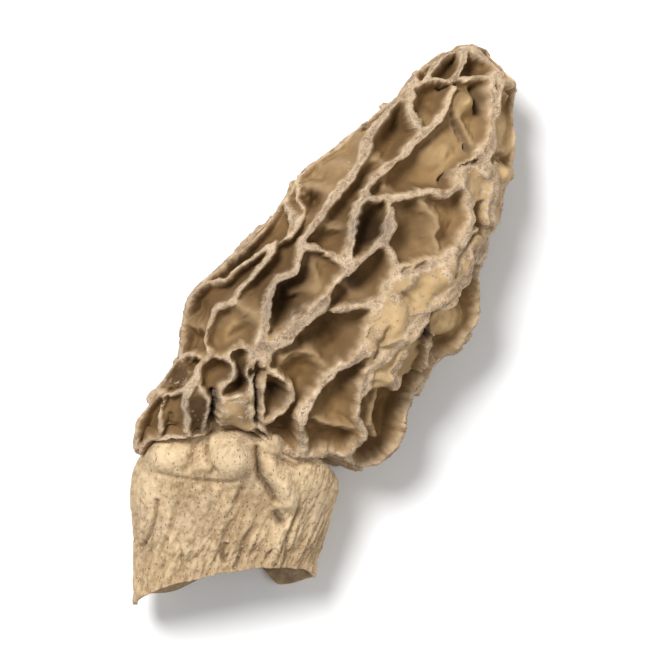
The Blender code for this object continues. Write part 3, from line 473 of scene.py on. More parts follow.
# Lumpy skin that fills pits nearly to the crests: the share of the depth that it fills, and its outline
netPatches = {
    "tipEdge": (0.9, [
        (12.0, 31.4), (13.7, 33.1), (15.2, 33.9), (18.1, 34.2), (19.6, 33.9), (20.9, 33.0), (21.9, 31.7),
        (24.5, 31.5),
        (21.0, 36.0), (15.0, 36.0), (11.0, 33.0)]),
    "plateau": (0.95, [
        (7.2, 4.3), (9.4, 6.6), (11.6, 7.4), (14.6, 7.5), (16.1, 8.3), (18.1, 10.2), (19.6, 11.3),
        (20.3, 9.4),
        (18.2, 6.7), (16.2, 4.1), (14.1, 2.2), (12.1, 0.4), (10.6, -1.5), (8.0, -3.6), (5.9, -5.8),
        (4.8, -3.6), (5.7, -0.9), (6.1, 2.2)]),
    "plateauTail": (0.7, [(10.6, -1.5), (9.2, -5.0), (8.8, -7.4), (6.2, -7.2), (5.6, -5.6), (8.0, -3.6)]),
    "tailSlope": (0.5, [
        (10.3, -1.5), (12.3, 0.6), (13.0, -1.0), (12.4, -3.6), (12.0, -7.2), (9.0, -7.6), (9.0, -5.0)]),
    "foldedSkin": (0.85, [
        (16.0, 18.6), (17.5, 19.4), (19.5, 19.9), (21.4, 18.0), (20.8, 15.0), (18.8, 14.2), (16.6, 16.7)]),
    "heelFront": (0.85, [(-12.6, -9.2), (-12.7, -15.0), (-7.9, -15.0), (-8.4, -8.8)]),
    "cloth": (0.5, [
        (-15.6, -7.0), (-16.6, -9.0), (-16.3, -15.0), (-14.4, -15.0), (-13.8, -11.8), (-14.6, -8.2)]),
    "lobeFront": (0.65, [
        (-21.9, -6.8), (-19.5, -8.0), (-17.3, -7.4), (-15.7, -5.8), (-17.6, -3.8), (-20.0, -4.4)]),
    "leftSkin": (0.42, [
        (4.9, 26.0), (8.0, 27.4), (5.2, 22.0), (1.3, 15.5), (-0.1, 13.6), (-1.2, 13.6), (-0.4, 16.4),
        (-3.8, 17.0),
        (-1.0, 20.6), (2.6, 23.0)]),
    "sideSkin": (0.9, [(20.9, 19.8), (24.0, 19.4), (24.0, 9.0), (20.5, 9.0), (20.0, 14.0)]),
}

# Narrow cuts and dark folds: half width, depth and points
netCuts = {
    "tipSlit": (0.22, 1.8, [(14.0, 29.5), (15.4, 29.4), (16.8, 29.6)]),
    "bulgeSide": (0.4, 1.4, [(19.4, 29.4), (19.9, 28.0), (20.0, 26.2)]),
    "bulgeFold": (0.3, 1.4, [(15.9, 26.0), (16.8, 24.0), (17.8, 22.5), (18.6, 21.0)]),
    "lensSlit": (0.3, 1.6, [(4.6, 24.3), (5.3, 25.7), (6.0, 26.8)]),
    "bandFold": (0.22, 1.2, [(16.0, 18.8), (17.5, 19.3), (19.0, 19.8)]),
    "curl": (0.28, 1.2, [(15.0, 17.3), (15.0, 18.0), (15.7, 18.7)]),
    "sillCrack": (0.28, 1.0, [(9.9, 6.3), (11.2, 6.8), (12.9, 7.2)]),
    "plateauArc": (0.2, 0.6, [(8.6, 3.6), (10.0, 3.6), (11.2, 2.7)]),
    "bandTrough": (0.45, 0.8, [(18.7, 10.6), (17.5, 8.4), (16.0, 6.2)]),
    "tailFold": (0.35, 0.8, [(7.9, -0.4), (6.9, -2.2), (6.3, -3.9)]),
    "leftCleft": (0.45, 3.2, [(-13.2, -8.4), (-13.0, -10.4), (-13.2, -12.3), (-13.6, -14.6)]),
    "rightCleft": (0.25, 2.0, [(-7.7, -6.8), (-7.75, -9.0), (-7.8, -11.0), (-7.75, -12.6)]),
    "elbowHole": (0.5, 1.4, [(-5.7, -8.6), (-5.0, -9.0), (-4.6, -9.4)]),
    "lobeOval": (0.4, 0.8, [(-19.1, -11.4), (-19.0, -12.8)]),
    "flapSlot": (0.5, 3.2, [(14.0, 0.9), (13.6, -0.6), (13.6, -2.4)]),
    "outlineFold": (0.3, 1.0, [(21.3, 29.4), (22.0, 28.6), (22.2, 27.4)]),
}

# Places where the pits are deeper or shallower than the rule: x, y, reach and change
depthSpots = {
    "deepHole": (5.5, 11.8, 2.5, 0.2),
    "longPitHead": (-3.6, 3.6, 2.8, 0.4),
    "longPitFoot": (-3.8, 0.4, 2.0, 0.35),
    "longPitFloor": (-0.6, 4.0, 1.5, -0.45),
    "slotHead": (9.4, 25.2, 1.6, 0.25),
    "slotFoot": (6.2, 20.8, 2.0, -0.15),
    "palePit": (15.2, 21.0, 3.4, -0.5),
    "roundPit": (12.6, 27.3, 1.6, -0.1),
    "roundBump": (12.6, 25.2, 1.2, -0.45),
    "bulge": (17.3, 27.3, 1.9, -0.75),
    "leftTipPit": (14.8, 31.8, 1.8, -0.1),
    "rightTipPit": (19.4, 32.2, 2.0, -0.2),
    "bigPitRight": (15.9, 12.0, 2.4, -0.4),
    "upperLeft": (1.0, 20.5, 3.6, -0.35),
    "strip": (-9.2, 2.8, 3.4, -0.45),
    "stripFoot": (-11.0, -1.2, 2.6, -0.35),
    "flap": (16.8, -0.6, 3.0, -0.5),
    "outerPit": (22.8, 24.0, 3.4, -0.75),
    "lobe": (-18.0, -11.0, 4.0, -0.45),
    "heel": (-10.3, -10.0, 2.4, -0.35),
    "curlPocket": (-10.2, -6.6, 1.5, 0.45),
    "shelfPocket": (-9.6, -2.4, 1.8, 0.3),
    "leftPocket": (-1.3, 15.8, 1.2, 0.4),
    "leftFoldSlit": (-4.0, 12.8, 1.0, 0.6),
    "shallowOval": (-0.3, 18.7, 1.5, 0.6),
    "shallowOvalAbove": (2.7, 21.2, 1.3, 0.4),
    "lowPits": (3.0, -11.0, 3.6, -0.2),
}

# Places where the pits go straight down and don't lean: x, y, reach and how much
uprightSpots = {
    "deepHole": (5.5, 11.8, 3.0, 1.2),
    "curlPocket": (-10.2, -6.6, 1.6, 0.8),
    "leftTip": (14.8, 32.0, 1.8, 0.7),
    "rightTip": (19.2, 32.2, 1.8, 0.7),
}

# Round lumps that stand up from the skin: x, y, reach and height
netLumps = {
    "edgeLump": (23.0, 29.6, 1.0, 0.7),
    "lowEdgeLump": (22.6, 18.4, 0.8, 0.6),
    "bulgingFloor": (17.5, 27.6, 1.7, 1.3),
    "roundBump": (12.5, 25.6, 1.1, 0.6),
    "plateauHead": (13.6, 5.4, 1.3, 0.45),
    "plateauRight": (16.0, 6.4, 0.9, 0.35),
    "plateauMiddle": (10.2, 4.9, 1.0, 0.4),
    "plateauFoot": (9.0, 0.2, 1.4, 0.55),
    "plateauStep": (12.2, 2.6, 0.9, 0.3),
    "tail": (7.4, -4.6, 1.3, 0.4),
    "heel": (-10.4, -11.4, 1.5, 0.4),
    "outlineLip": (-3.9, 17.6, 0.7, 0.4),
    "spineKnot": (-4.6, -1.4, 0.7, 0.3),
}

# Places with a paler yellow skin than the rest, and on the flap, the right edge and the side band a painted
# light where they face away from the lamps: x, y, reach and how much
paleSkinAndLightSpots = {
    "plateau": (13.0, 4.4, 4.0, 1.0),
    "plateauFoot": (8.2, -0.2, 3.0, 1.0),
    "tail": (7.8, -5.4, 2.2, 0.8),
    "sideBand": (20.6, 13.5, 3.0, 0.6),
    "rightEdge": (22.8, 23.0, 3.0, 0.9),
    "flap": (17.0, 0.6, 3.0, 1.3),
    "tailSlope": (10.8, -4.0, 1.8, 0.6),
    "edgeLump": (22.6, 30.0, 1.2, 1.0),
    "lowEdgeLump": (22.5, 18.5, 0.9, 1.0),
    "palePit": (15.4, 20.6, 2.8, 0.6),
    "bulgingFloor": (17.2, 27.4, 1.8, 1.0),
    "foldedSkin": (18.6, 17.2, 2.0, 0.6),
    "bigPitHead": (9.6, 12.8, 1.4, 0.5),
    "leftUpper": (0.6, 20.4, 3.6, 0.25),
    "longPitFloor": (-0.5, 4.0, 1.5, 0.5),
    "stripFoot": (-10.6, -1.0, 2.2, 0.6),
    "heel": (-11.6, -11.9, 1.8, 0.5),
}

# Places painted darker brown as painted shade, in the deep pits, pockets, clefts and folds: x, y, reach and
# how much
paintedShadeSpots = {
    "deepHole": (5.5, 11.8, 2.4, 2.6),
    "slot": (9.0, 24.6, 2.6, 0.8),
    "strip": (-8.6, 4.4, 3.2, 0.8),
    "stripHead": (-5.4, 8.6, 2.4, 0.6),
    "leftPit": (-15.0, 3.0, 2.8, 0.9),
    "outerStrip": (-9.5, 8.8, 2.6, 0.8),
    "longPit": (-4.4, 2.6, 2.8, 2.0),
    "longPitHead": (-1.2, 6.6, 2.2, 0.8),
    "underSpine": (4.6, 4.8, 2.2, 1.3),
    "brownPit": (1.4, -1.4, 2.8, 1.1),
    "bigPit": (10.4, 11.2, 2.4, 1.0),
    "lowerPit": (0.6, 12.2, 2.6, 0.6),
    "upperPit": (4.6, 17.6, 2.2, 0.5),
    "lobe": (-18.6, -11.4, 3.4, 0.4),
    "lobeTop": (-18.2, -5.8, 2.4, 1.4),
    "cloth": (-14.9, -10.5, 1.8, 1.9),
    "clothFoot": (-14.9, -13.2, 1.6, 1.4),
    "lobeRib": (-16.4, -9.6, 1.6, 0.5),
    "thinFolds": (-7.7, -9.0, 2.0, 0.8),
    "curlPocket": (-10.2, -6.6, 1.8, 1.8),
    "heel": (-9.7, -11.4, 1.3, 0.7),
    "shelfPocket": (-9.4, -2.6, 2.0, 0.8),
    "elbow": (-5.4, -8.8, 1.6, 0.8),
    "cup": (-5.0, -12.8, 1.8, 0.5),
    "darkPit": (3.6, -8.0, 2.2, 0.7),
    "outerLobe": (7.6, -11.6, 2.4, 0.7),
    "tailSlot": (13.0, -3.0, 0.9, 0.9),
    "roundPit": (12.6, 28.2, 1.5, 0.7),
    "leftTip": (14.6, 32.4, 1.6, 0.9),
    "rightTip": (19.0, 32.8, 1.6, 0.8),
    "leftPocket": (-1.3, 15.9, 1.1, 0.9),
    "leftFoldSlit": (-4.0, 12.8, 0.9, 1.2),
}

netRule = {
    "ribSpacing": 0.3,
    "pathReach": 3.5,
    "webbing": 0.24,
    "patchSoftness": 0.9,
    "guideRows": 190,
    "guideColumns": 240,
    "sillHalfWidth": 0.5,
    "hollowingPasses": 400,
    "backRibAngles": (163, 190, 216, 243, 270, 297, 324, 349, 370),
    "backRibSway": 8.0,
    "backRibBends": (2.5, 4.5),
    "backRibHalfWidth": 0.6,
    "backShortRibEnd": 0.8,
    "backRungSpacing": 9.0,
    "backRungStarts": (0.9, 0.45),
    "backRungEnd": 0.92,
    "backRungSlope": 0.5,
    "backRungSpread": (0.8, 1.2),
    "sideRungSlant": 5,
    "edgeReach": 20.0,
    "seed": 11,
}


def ribPath(points):
    length = sum(math.dist(a, b) for a, b in zip(points, points[1:]))
    count = max(3, round(length / netRule["ribSpacing"]))
    return np.linspace(points[0], points[1], count) if len(points) == 2 else smoothPath(points, count)


def surfaceTree(grid):
    rows, columns = grid.shape[:2]
    faces = []
    for i in range(rows - 1):
        for j in range(columns):
            k = (j + 1) % columns
            faces.append((i * columns + j, i * columns + k, (i + 1) * columns + k, (i + 1) * columns + j))
    return BVHTree.FromPolygons(grid.reshape(-1, 3).tolist(), faces)


def droppedPath(tree, path):
    # Plan points dropped onto the upper side from far above, or moved to its edge where they miss it
    placed = []
    for x, y in path:
        hit = tree.ray_cast(Vector((x, y, 100.0)), Vector((0.0, 0.0, -1.0)))[0]
        point = hit or tree.find_nearest(Vector((x, y, capShape["tip"][2])))[0]
        if placed:
            last = placed[-1]
            steps = math.ceil((point - last).length / netRule["ribSpacing"])
            placed += [tree.find_nearest(last.lerp(point, i / steps))[0] for i in range(1, steps)]
        placed.append(point)
    return placed


def droppedLines(tree, lines):
    return [(*numbers, droppedPath(tree, ribPath(points))) for *numbers, points in lines.values()]


def carriedRound(grid, path):
    # Where a rib ends near the edge of the plan, it goes on down the side to the first long rib below
    rows, columns = grid.shape[:2]
    angles = netRule["backRibAngles"]
    leftEdge, rightEdge = (round((angles[i] % 360) * columns / 360) for i in (0, -1))
    reach = round(netRule["edgeReach"] * columns / 360)
    paths = []
    for end in (path[0], path[-1]):
        away = np.linalg.norm(grid - np.array(end), axis=-1)
        row, column = np.unravel_index(away.argmin(), away.shape)
        if rightEdge < column < rightEdge + reach:
            route = range(column, rightEdge, -1)
        elif leftEdge - reach < column < leftEdge:
            route = range(column, leftEdge)
        else:
            continue
        slant = netRule["sideRungSlant"] * (-1) ** row
        lower = [min(rows - 1, max(0, row + round(slant * i / len(route)))) for i in range(len(route))]
        paths.append([grid[i, j] for i, j in zip(lower, route)])
    return paths


def backRibs(grid):
    # Long swaying ribs on the lower side, and rungs between neighbours
    draw = random.Random(netRule["seed"])
    rows, columns = grid.shape[:2]
    shares = np.linspace(0.0, 1.0, rows)
    paths = []
    tracks = []
    for number, angle in enumerate(netRule["backRibAngles"]):
        phase = draw.uniform(0, 2 * math.pi)
        reach = netRule["backRibSway"] if 180 < angle < 360 else 1.0
        bends = draw.uniform(*netRule["backRibBends"]) * math.pi
        sway = reach * np.sin(bends * shares + phase) * np.sin(math.pi * shares)
        track = np.round((angle + sway) / 360 * columns).astype(int)
        tracks.append(track)
        last = rows if number % 2 == 0 else int(rows * netRule["backShortRibEnd"])
        paths.append([grid[i, track[i] % columns] for i in range(2, last)])
    rowLength = np.linalg.norm(np.diff(grid[:, columns * 3 // 4], axis=0), axis=1).mean()
    rungRows = netRule["backRungSpacing"] / rowLength
    for number, (left, right) in enumerate(zip(tracks, tracks[1:])):
        row = rungRows * netRule["backRungStarts"][number % 2]
        while row < rows * netRule["backRungEnd"]:
            rise = draw.uniform(-netRule["backRungSlope"], netRule["backRungSlope"]) * rungRows
            steps = max(4, abs(right[int(row)] - left[int(row)]))
            rung = []
            for step in range(steps + 1):
                i = min(rows - 1, max(0, round(row + rise * step / steps)))
                j = round(left[i] + (right[i] - left[i]) * step / steps)
                rung.append(grid[i, j % columns])
            paths.append(rung)
            row += rungRows * draw.uniform(*netRule["backRungSpread"])
    return paths


def nearPath(places, path):
    # The numbers of the places within reach of a path, and how far each is from it
    points = np.array([tuple(point) for point in path])
    reach = netRule["pathReach"]
    near = ((places > points.min(axis=0) - reach) & (places < points.max(axis=0) + reach)).all(axis=1)
    tree = KDTree(len(points))
    for number, point in enumerate(points):
        tree.insert(point, number)
    tree.balance()
    numbers = np.nonzero(near)[0]
    return numbers, np.array([tree.find(place)[2] for place in places[numbers].tolist()])


def ribField(grid, ribs):
    # How far each place is beyond the nearest crest, with ribs webbed together where they meet
    places = grid.reshape(-1, 3)
    closeness = np.full(len(places), 1e-12)
    widths = np.zeros(len(places))
    for halfWidth, path in ribs:
        numbers, distance = nearPath(places, path)
        near = np.exp((halfWidth - distance) / netRule["webbing"])
        closeness[numbers] += near
        widths[numbers] += near * halfWidth
    beyond = -netRule["webbing"] * np.log(closeness)
    return beyond.reshape(grid.shape[:2]), (widths / closeness).reshape(grid.shape[:2])


def lineField(grid, lines):
    # The strongest of several lines at each place, each fading over its own half width
    places = grid.reshape(-1, 3)
    strongest = np.zeros(len(places))
    for halfWidth, strength, path in lines:
        numbers, distance = nearPath(places, path)
        here = strength * np.exp(-((distance / halfWidth) ** 2))
        strongest[numbers] = np.maximum(strongest[numbers], here)
    return strongest.reshape(grid.shape[:2])


def insideOutline(grid, outline):
    # 1 well inside an outline as seen from above, 0 outside it
    x, y = grid[..., 0, None], grid[..., 1, None]
    corners = np.array(outline, float)
    (x1, y1), (x2, y2) = corners.T, np.roll(corners, -1, axis=0).T
    crossed = ((y1 > y) != (y2 > y)) & (x < (x2 - x1) * (y - y1) / (y2 - y1 + 1e-9) + x1)
    inside = crossed.sum(axis=-1) % 2 == 1
    along = ((x - x1) * (x2 - x1) + (y - y1) * (y2 - y1)) / ((x2 - x1) ** 2 + (y2 - y1) ** 2)
    along = np.clip(along, 0, 1)
    away = np.hypot(x1 + along * (x2 - x1) - x, y1 + along * (y2 - y1) - y).min(axis=-1)
    return eased(0.5 + np.where(inside, away, -away) / netRule["patchSoftness"])


def hollowness(crest, grid):
    # How far each point sinks: 0 on a crest, rising toward 1 away from the pit's walls
    rowStep = np.linalg.norm(np.diff(grid, axis=0, append=grid[-1:]), axis=-1) + 1e-3
    columnStep = np.linalg.norm(np.roll(grid, -1, axis=1) - grid, axis=-1) + 1e-3
    along = 1 / np.clip(rowStep, 0.1, None) ** 2
    around = 1 / np.clip(columnStep, 0.1, None) ** 2
    source = 1 / capShape["pitWallReach"] ** 2
    share = np.where(crest, 0.0, 0.6)
    for _ in range(netRule["hollowingPasses"]):
        ends = np.concatenate([share[:1], share[:-1]]) + np.concatenate([share[1:], share[-1:]])
        sides = np.roll(share, 1, axis=1) + np.roll(share, -1, axis=1)
        share = (along * ends + around * sides + source) / (2 * along + 2 * around + source)
        share[crest] = 0.0
    return share


def spotSum(grid, spots, upper, power=2):
    # Round spots on the upper side, added up
    total = np.zeros(grid.shape[:2])
    for x, y, reach, change in spots.values():
        away = np.hypot(grid[..., 0] - x, grid[..., 1] - y) / reach
        total += np.where(upper, change * np.exp(-away**power), 0.0)
    return total


# What the fine cap adds to the net's rule, in millimetres. Three numbers are a height, a size and a seed.
capRelief = {
    "ribThinning": 0.67,
    "ribWander": (0.4, 3.0),
    "ribFray": (0.28, 0.8),
    "widthChange": (0.85, 2.6, 8),
    "crestSag": (0.8, 3.2, 7),
    "sagReach": 0.8,
    "patchSag": 0.6,
    "lowRibDrop": 1.5,
    "highRib": 0.75,
    "crestGroove": 0.12,
    "grooveHalfWidth": 0.25,
    "groovedRibs": (0.36, 0.3),
    "groovePlaces": (1.0, 2.0, 9),
    "floorReach": 1.2,
    "floorWave": (0.45, 4.5, 5),
    "floorFold": (0.3, 1.6, 6),
    "floorShift": (0.5, 5.0),
    "pitLean": (-0.9, 0.62),
    "patchLump": (0.7, 2.0, 16),
    "patchVein": (0.25, 3.2, 18),
    "patchVeinWidth": 0.15,
    "veinCrest": 0.8,
    "notchSink": 1.4,
    "notchReach": 0.9,
    "bodyWaves": ((0.3, 5.0, 19), (0.12, 1.8, 20)),
    "crestEdge": (-0.18, 0.25),
    "litSide": (-0.8, 0.6),
    "litStart": (0.05, 0.3),
    "borderReach": 1.3,
    "edgeBand": (0.02, 0.15),
    "wallBand": (0.6, 0.4),
}


def wallRoom(grid, inside):
    # How far each place can sink and still leave a wall over the hollow
    tree = surfaceTree(inside)
    reach = np.array([tree.find_nearest(place)[3] for place in grid.reshape(-1, 3).tolist()])
    return np.clip(reach.reshape(grid.shape[:2]) - capShape["wall"], 0, None)


def capLines():
    # The net's crests, sills and cuts, dropped onto a plain guide surface
    angles = np.linspace(0, 2 * math.pi, netRule["guideColumns"], endpoint=False)
    sections = smoothPath(capShape["outside"], netRule["guideRows"])
    guide = sectionRings(sections, angles, capShape["fullness"], capShape["lean"])
    tree = surfaceTree(guide)
    crests = droppedLines(tree, netRibs)
    crests += [(width, side) for width, path in list(crests) for side in carriedRound(guide, path)]
    crests += [(netRule["backRibHalfWidth"], path) for path in backRibs(guide)]
    reach = 2 * netRule["sillHalfWidth"]
    sills = [(reach, height, path) for height, path in droppedLines(tree, netSills)]
    sills += [(reach, height, side) for _, height, path in list(sills) for side in carriedRound(guide, path)]
    return crests, sills, droppedLines(tree, netCuts)


def capOutside(angles, inside):
    crests, sills, cuts = capLines()
    sections = smoothPath(capShape["outside"], capShape["rows"])
    grid = sectionRings(sections, angles, capShape["fullness"], capShape["lean"])
    upper = grid[..., 2] > capShape["tip"][2]
    relief = capRelief

    def wavy(key):
        return waveSum(grid, relief[key])

    def swelling(key, start=0.5):
        height, size, seed = relief[key]
        return height * someOf(grid, start, size, seed)

    def alongRim(x, halfWidth):
        return np.where(upper, np.exp(-(((grid[..., 0] - x) / halfWidth) ** 4)), 0.0)

    def band(middle, halfWidth):
        return np.exp(-(((beyond - middle) / halfWidth) ** 2))

    # How far each place is from the crests, and how deep the pits sink between them
    (wander, wanderSize), (fray, fraySize) = relief["ribWander"], relief["ribFray"]
    moved = grid + np.stack([
        waveSum(grid, (wander, wanderSize, seed), (fray, fraySize, seed + 3)) for seed in (1, 2, 3)
    ], axis=-1)
    beyond, halfWidth = ribField(moved, crests)
    fromMiddle = beyond + halfWidth
    beyond -= halfWidth * (relief["ribThinning"] * (1 + wavy("widthChange")) - 1)
    sinking = hollowness(beyond < 0, grid) * eased(beyond / capShape["crestShoulder"])
    sill = lineField(moved, sills)
    patch = np.zeros(grid.shape[:2])
    for filled, outline in netPatches.values():
        patch = np.maximum(patch, np.where(upper, filled * insideOutline(moved, outline), 0.0))
    sinking *= (1 - sill) * (1 - patch)
    depth = capShape["pitDepth"] * sinking * (1 + spotSum(grid, depthSpots, upper))
    fromRim = np.cumsum(np.linalg.norm(np.diff(grid, axis=0, prepend=grid[:1]), axis=-1), axis=0)
    thickness = np.ptp(grid[..., 2], axis=1)[:, None]
    notchX, notchWidth, notchShift, notchDepth = capShape["rimNotch"]
    notch = alongRim(notchX, notchWidth)
    rimDepth = np.maximum(fadeIn(fromRim, *capShape["rimFade"]), notchDepth * notch)
    depth = np.minimum(depth, capShape["pitShareOfThickness"] * thickness) * rimDepth

    # Folds of the floors, lumps and veins of the patches, and sagging, grooved crests
    floor = eased(beyond / relief["floorReach"]) * (1 - patch)
    depth += floor * (wavy("floorWave") + np.abs(wavy("floorFold"))) + patch * swelling("patchLump")
    # Painted shade: how much darker the deep pits, pockets and folds are painted
    dark = spotSum(grid, paintedShadeSpots, upper)
    veinHeight, veinSize, veinSeed = relief["patchVein"]
    vein = np.exp(-((waves(grid, veinSize, veinSeed) / relief["patchVeinWidth"]) ** 2)) * patch
    vein *= 1 - np.clip(2 * dark, 0, 1)
    depth += waveSum(grid, *relief["bodyWaves"]) - veinHeight * vein - spotSum(grid, netLumps, upper)
    onCrest = np.maximum(1 - fadeIn(beyond, *relief["crestEdge"]), relief["veinCrest"] * vein)
    onCrest = np.maximum(onCrest, (1 - eased(fromRim / capShape["rimCrest"])) * (1 - notch))
    sag = relief["lowRibDrop"] * np.clip(relief["highRib"] - halfWidth, 0, 1) + swelling("crestSag")
    depth += np.exp(-np.clip(beyond, 0, None) / relief["sagReach"]) * sag * (1 - relief["patchSag"] * patch)
    groove = np.exp(-((fromMiddle / relief["grooveHalfWidth"]) ** 2)) * swelling("groovePlaces", 0.6)
    groove *= fadeIn(halfWidth, *relief["groovedRibs"])
    cut = lineField(moved, cuts)
    depth += relief["crestGroove"] * groove + cut
    depth += relief["notchSink"] * notch * np.exp(-fromRim / relief["notchReach"])
    depth *= fadeIn(fromRim[-1:] - fromRim, *capShape["tipFade"])
    depth = np.minimum(depth, wallRoom(grid, inside))

    # The pits go in and down, lean, and the rim shifts
    inward = inwardDirections(grid)
    inward[..., 2] -= capShape["downwardPits"] * eased(3 * np.sin(angles))
    inward /= np.linalg.norm(inward, axis=-1, keepdims=True)
    shaped = grid + inward * depth[..., None]
    shift, shiftSize = relief["floorShift"]
    shifted = shift * np.stack([waves(grid, shiftSize, seed) for seed in (31, 32)], axis=-1)
    upright = np.clip(spotSum(grid, uprightSpots, upper), 0, 1)
    lean = (eased(2 * np.sin(angles)) * (1 - upright))[..., None] * relief["pitLean"]
    shaped[..., :2] += depth[..., None] / capShape["pitDepth"] * (shifted + lean)
    lipX, lipWidth, lipShift = capShape["rimLip"]
    rimShift = notchShift * notch + lipShift * alongRim(lipX, lipWidth) + waveSum(grid, capShape["rimFrill"])
    shaped[..., 1] += rimShift * np.exp(-fromRim / capShape["rimReach"])

    # Which walls face the upper left, toward the key light: they take the lit wall colour, a painted light
    along, around = np.gradient(shaped, axis=0), np.roll(shaped, -1, axis=1) - np.roll(shaped, 1, axis=1)
    facing = np.cross(around, along)
    facing /= np.linalg.norm(facing, axis=-1, keepdims=True) + 1e-12
    facing *= np.sign((facing * (shaped - shaped.mean(axis=1, keepdims=True))).sum())
    lit = np.clip(facing[..., :2] @ np.array(relief["litSide"]), 0, 1) * fadeIn(beyond, *relief["litStart"])
    shares = {
        "litShare": lit * (1 - patch),
        "borderShare": patch * band(0, relief["borderReach"]),
        "crestShare": onCrest,
        "edgeShare": band(*relief["edgeBand"]),
        # Painted shade on the pit walls just below the crests
        "wallShadeShare": band(*relief["wallBand"]) * (1 - patch),
        "grooveShare": groove,
        "cutShadeShare": np.clip(cut / 2, 0, 1),
        "patchShare": patch * (1 - onCrest),
        "pitShare": depth / capShape["pitDepth"],
        "sillShare": np.clip(2 * sill, 0, 1) * (1 - onCrest),
        # Pale yellow skin, with painted light on the flap, the right edge and the side band
        "paleShare": np.clip(spotSum(grid, paleSkinAndLightSpots, upper), 0, 1),
        "paintedShadeShare": np.clip(dark, 0, 2),
        "insideShare": np.zeros(grid.shape[:2]),
    }
    return shaped, shares


def capMesh():
    shape = capShape
    angles = evenAngles(shape["outside"][7], shape["columns"], shape["fullness"], shape["upperWeight"])
    hole, throat = (widened(shape[name], shape["neckGap"]) for name in ("neck", "neckTop"))
    hollow = smoothPath((hole, throat, *shape["hollow"]), shape["hollowRows"])
    hollow = sectionRings(hollow, angles, shape["hollowFullness"])
    shaped, shares = capOutside(angles, hollow)
    end = shape["outside"][-1]
    beyondEnd = np.array(shape["tip"]) - ((end[0] + end[2]) / 2, (end[1] + end[3]) / 2, end[4])
    tip = shaped[-1].mean(axis=0) + shape["tipReach"] * beyondEnd

    # The ribs meet in a rough knot at the tip
    steps = np.linspace(0, 1, shape["tipRings"] + 2)[1:-1, None]
    shaped = np.concatenate([shaped, shaped[-1] + (tip - shaped[-1]) * steps[..., None]])
    for key, values in shares.items():
        goal = 1.0 if key == "crestShare" else 0.0
        knot = values[-1] + (goal - values[-1]) * eased(steps / shape["tipKnot"])
        shares[key] = np.concatenate([values, knot])

    # The inside goes on from the rim
    inside = np.concatenate([np.linspace(shaped[0], hollow[0], shape["joiningRows"])[1:-1], hollow])
    inside += inwardDirections(inside) * waveSum(inside, *shape["hollowWaves"])[..., None]
    grid = np.concatenate([shaped[::-1], inside])
    grid[..., 2] = np.maximum(grid[..., 2], 0.0)
    for key, values in shares.items():
        ends = np.full(inside.shape[:2], 1.0 if key == "insideShare" else 0.0)
        shares[key] = np.concatenate([values[::-1], ends])
    return outwardFaces(gridMesh("cap", grid, shares, firstPole=tuple(tip), lastPole=shape["hollowEnd"]))


# Dried skin: a node tree that roughens a surface along its normals, and keeps it above the ground

def skinTree():
    tree, sockets, given = startTree("driedSkin", (
        ("Crumb height", "Float", 0.1 * mm), ("Crumb size", "Float", 0.6 * mm),
        ("Wrinkle height", "Float", 0.05 * mm), ("Wrinkle size", "Float", 1.2 * mm), ("Seed", "Float", 1.0),
        ("Outside", "Material", None), ("Inside", "Material", None)))
    place = addNode(tree, "GeometryNodeInputPosition").outputs[0]
    normal = addNode(tree, "GeometryNodeInputNormal").outputs[0]

    def rough(kind, detail):
        scale = calc(tree, "DIVIDE", 1.0, given[kind + " size"])
        made = addNode(tree, "ShaderNodeTexNoise", {
            "Vector": place, "W": given["Seed"], "Scale": scale, "Detail": detail}, noise_dimensions="4D")
        return product(tree, calc(tree, "SUBTRACT", made.outputs[0], 0.5), given[kind + " height"])

    crumbs = product(tree, rough("Crumb", 3.0), storedShare(tree, "crestShare"))
    total = product(tree, calc(tree, "ADD", crumbs, rough("Wrinkle", 2.0)), 2.0)
    offset = addNode(tree, "ShaderNodeVectorMath", {0: normal, "Scale": total}, operation="SCALE").outputs[0]
    moved = addNode(tree, "GeometryNodeSetPosition", {"Geometry": given["Geometry"], "Offset": offset})
    parts = addNode(tree, "ShaderNodeSeparateXYZ", {0: place}).outputs
    above = calc(tree, "MAXIMUM", parts[2], 0.0)
    level = addNode(tree, "ShaderNodeCombineXYZ", {0: parts[0], 1: parts[1], 2: above}).outputs[0]
    resting = addNode(tree, "GeometryNodeSetPosition", {"Geometry": moved.outputs[0], "Position": level})
    real = addNode(tree, "GeometryNodeRealizeInstances", {0: resting.outputs[0]})
    outer = addNode(tree, "GeometryNodeSetMaterial", {
        "Geometry": real.outputs[0], "Material": given["Outside"]})
    isInside = addNode(tree, "FunctionNodeCompare", {
        0: storedShare(tree, "insideShare"), 1: 0.5}, operation="GREATER_THAN")
    inner = addNode(tree, "GeometryNodeSetMaterial", {
        "Geometry": outer.outputs[0], "Selection": isInside.outputs[0], "Material": given["Inside"]})
    addNode(tree, "NodeGroupOutput", {0: inner.outputs[0]})
    return tree, sockets


# Mealy grains: a node tree that scatters small flattened lumps over a surface

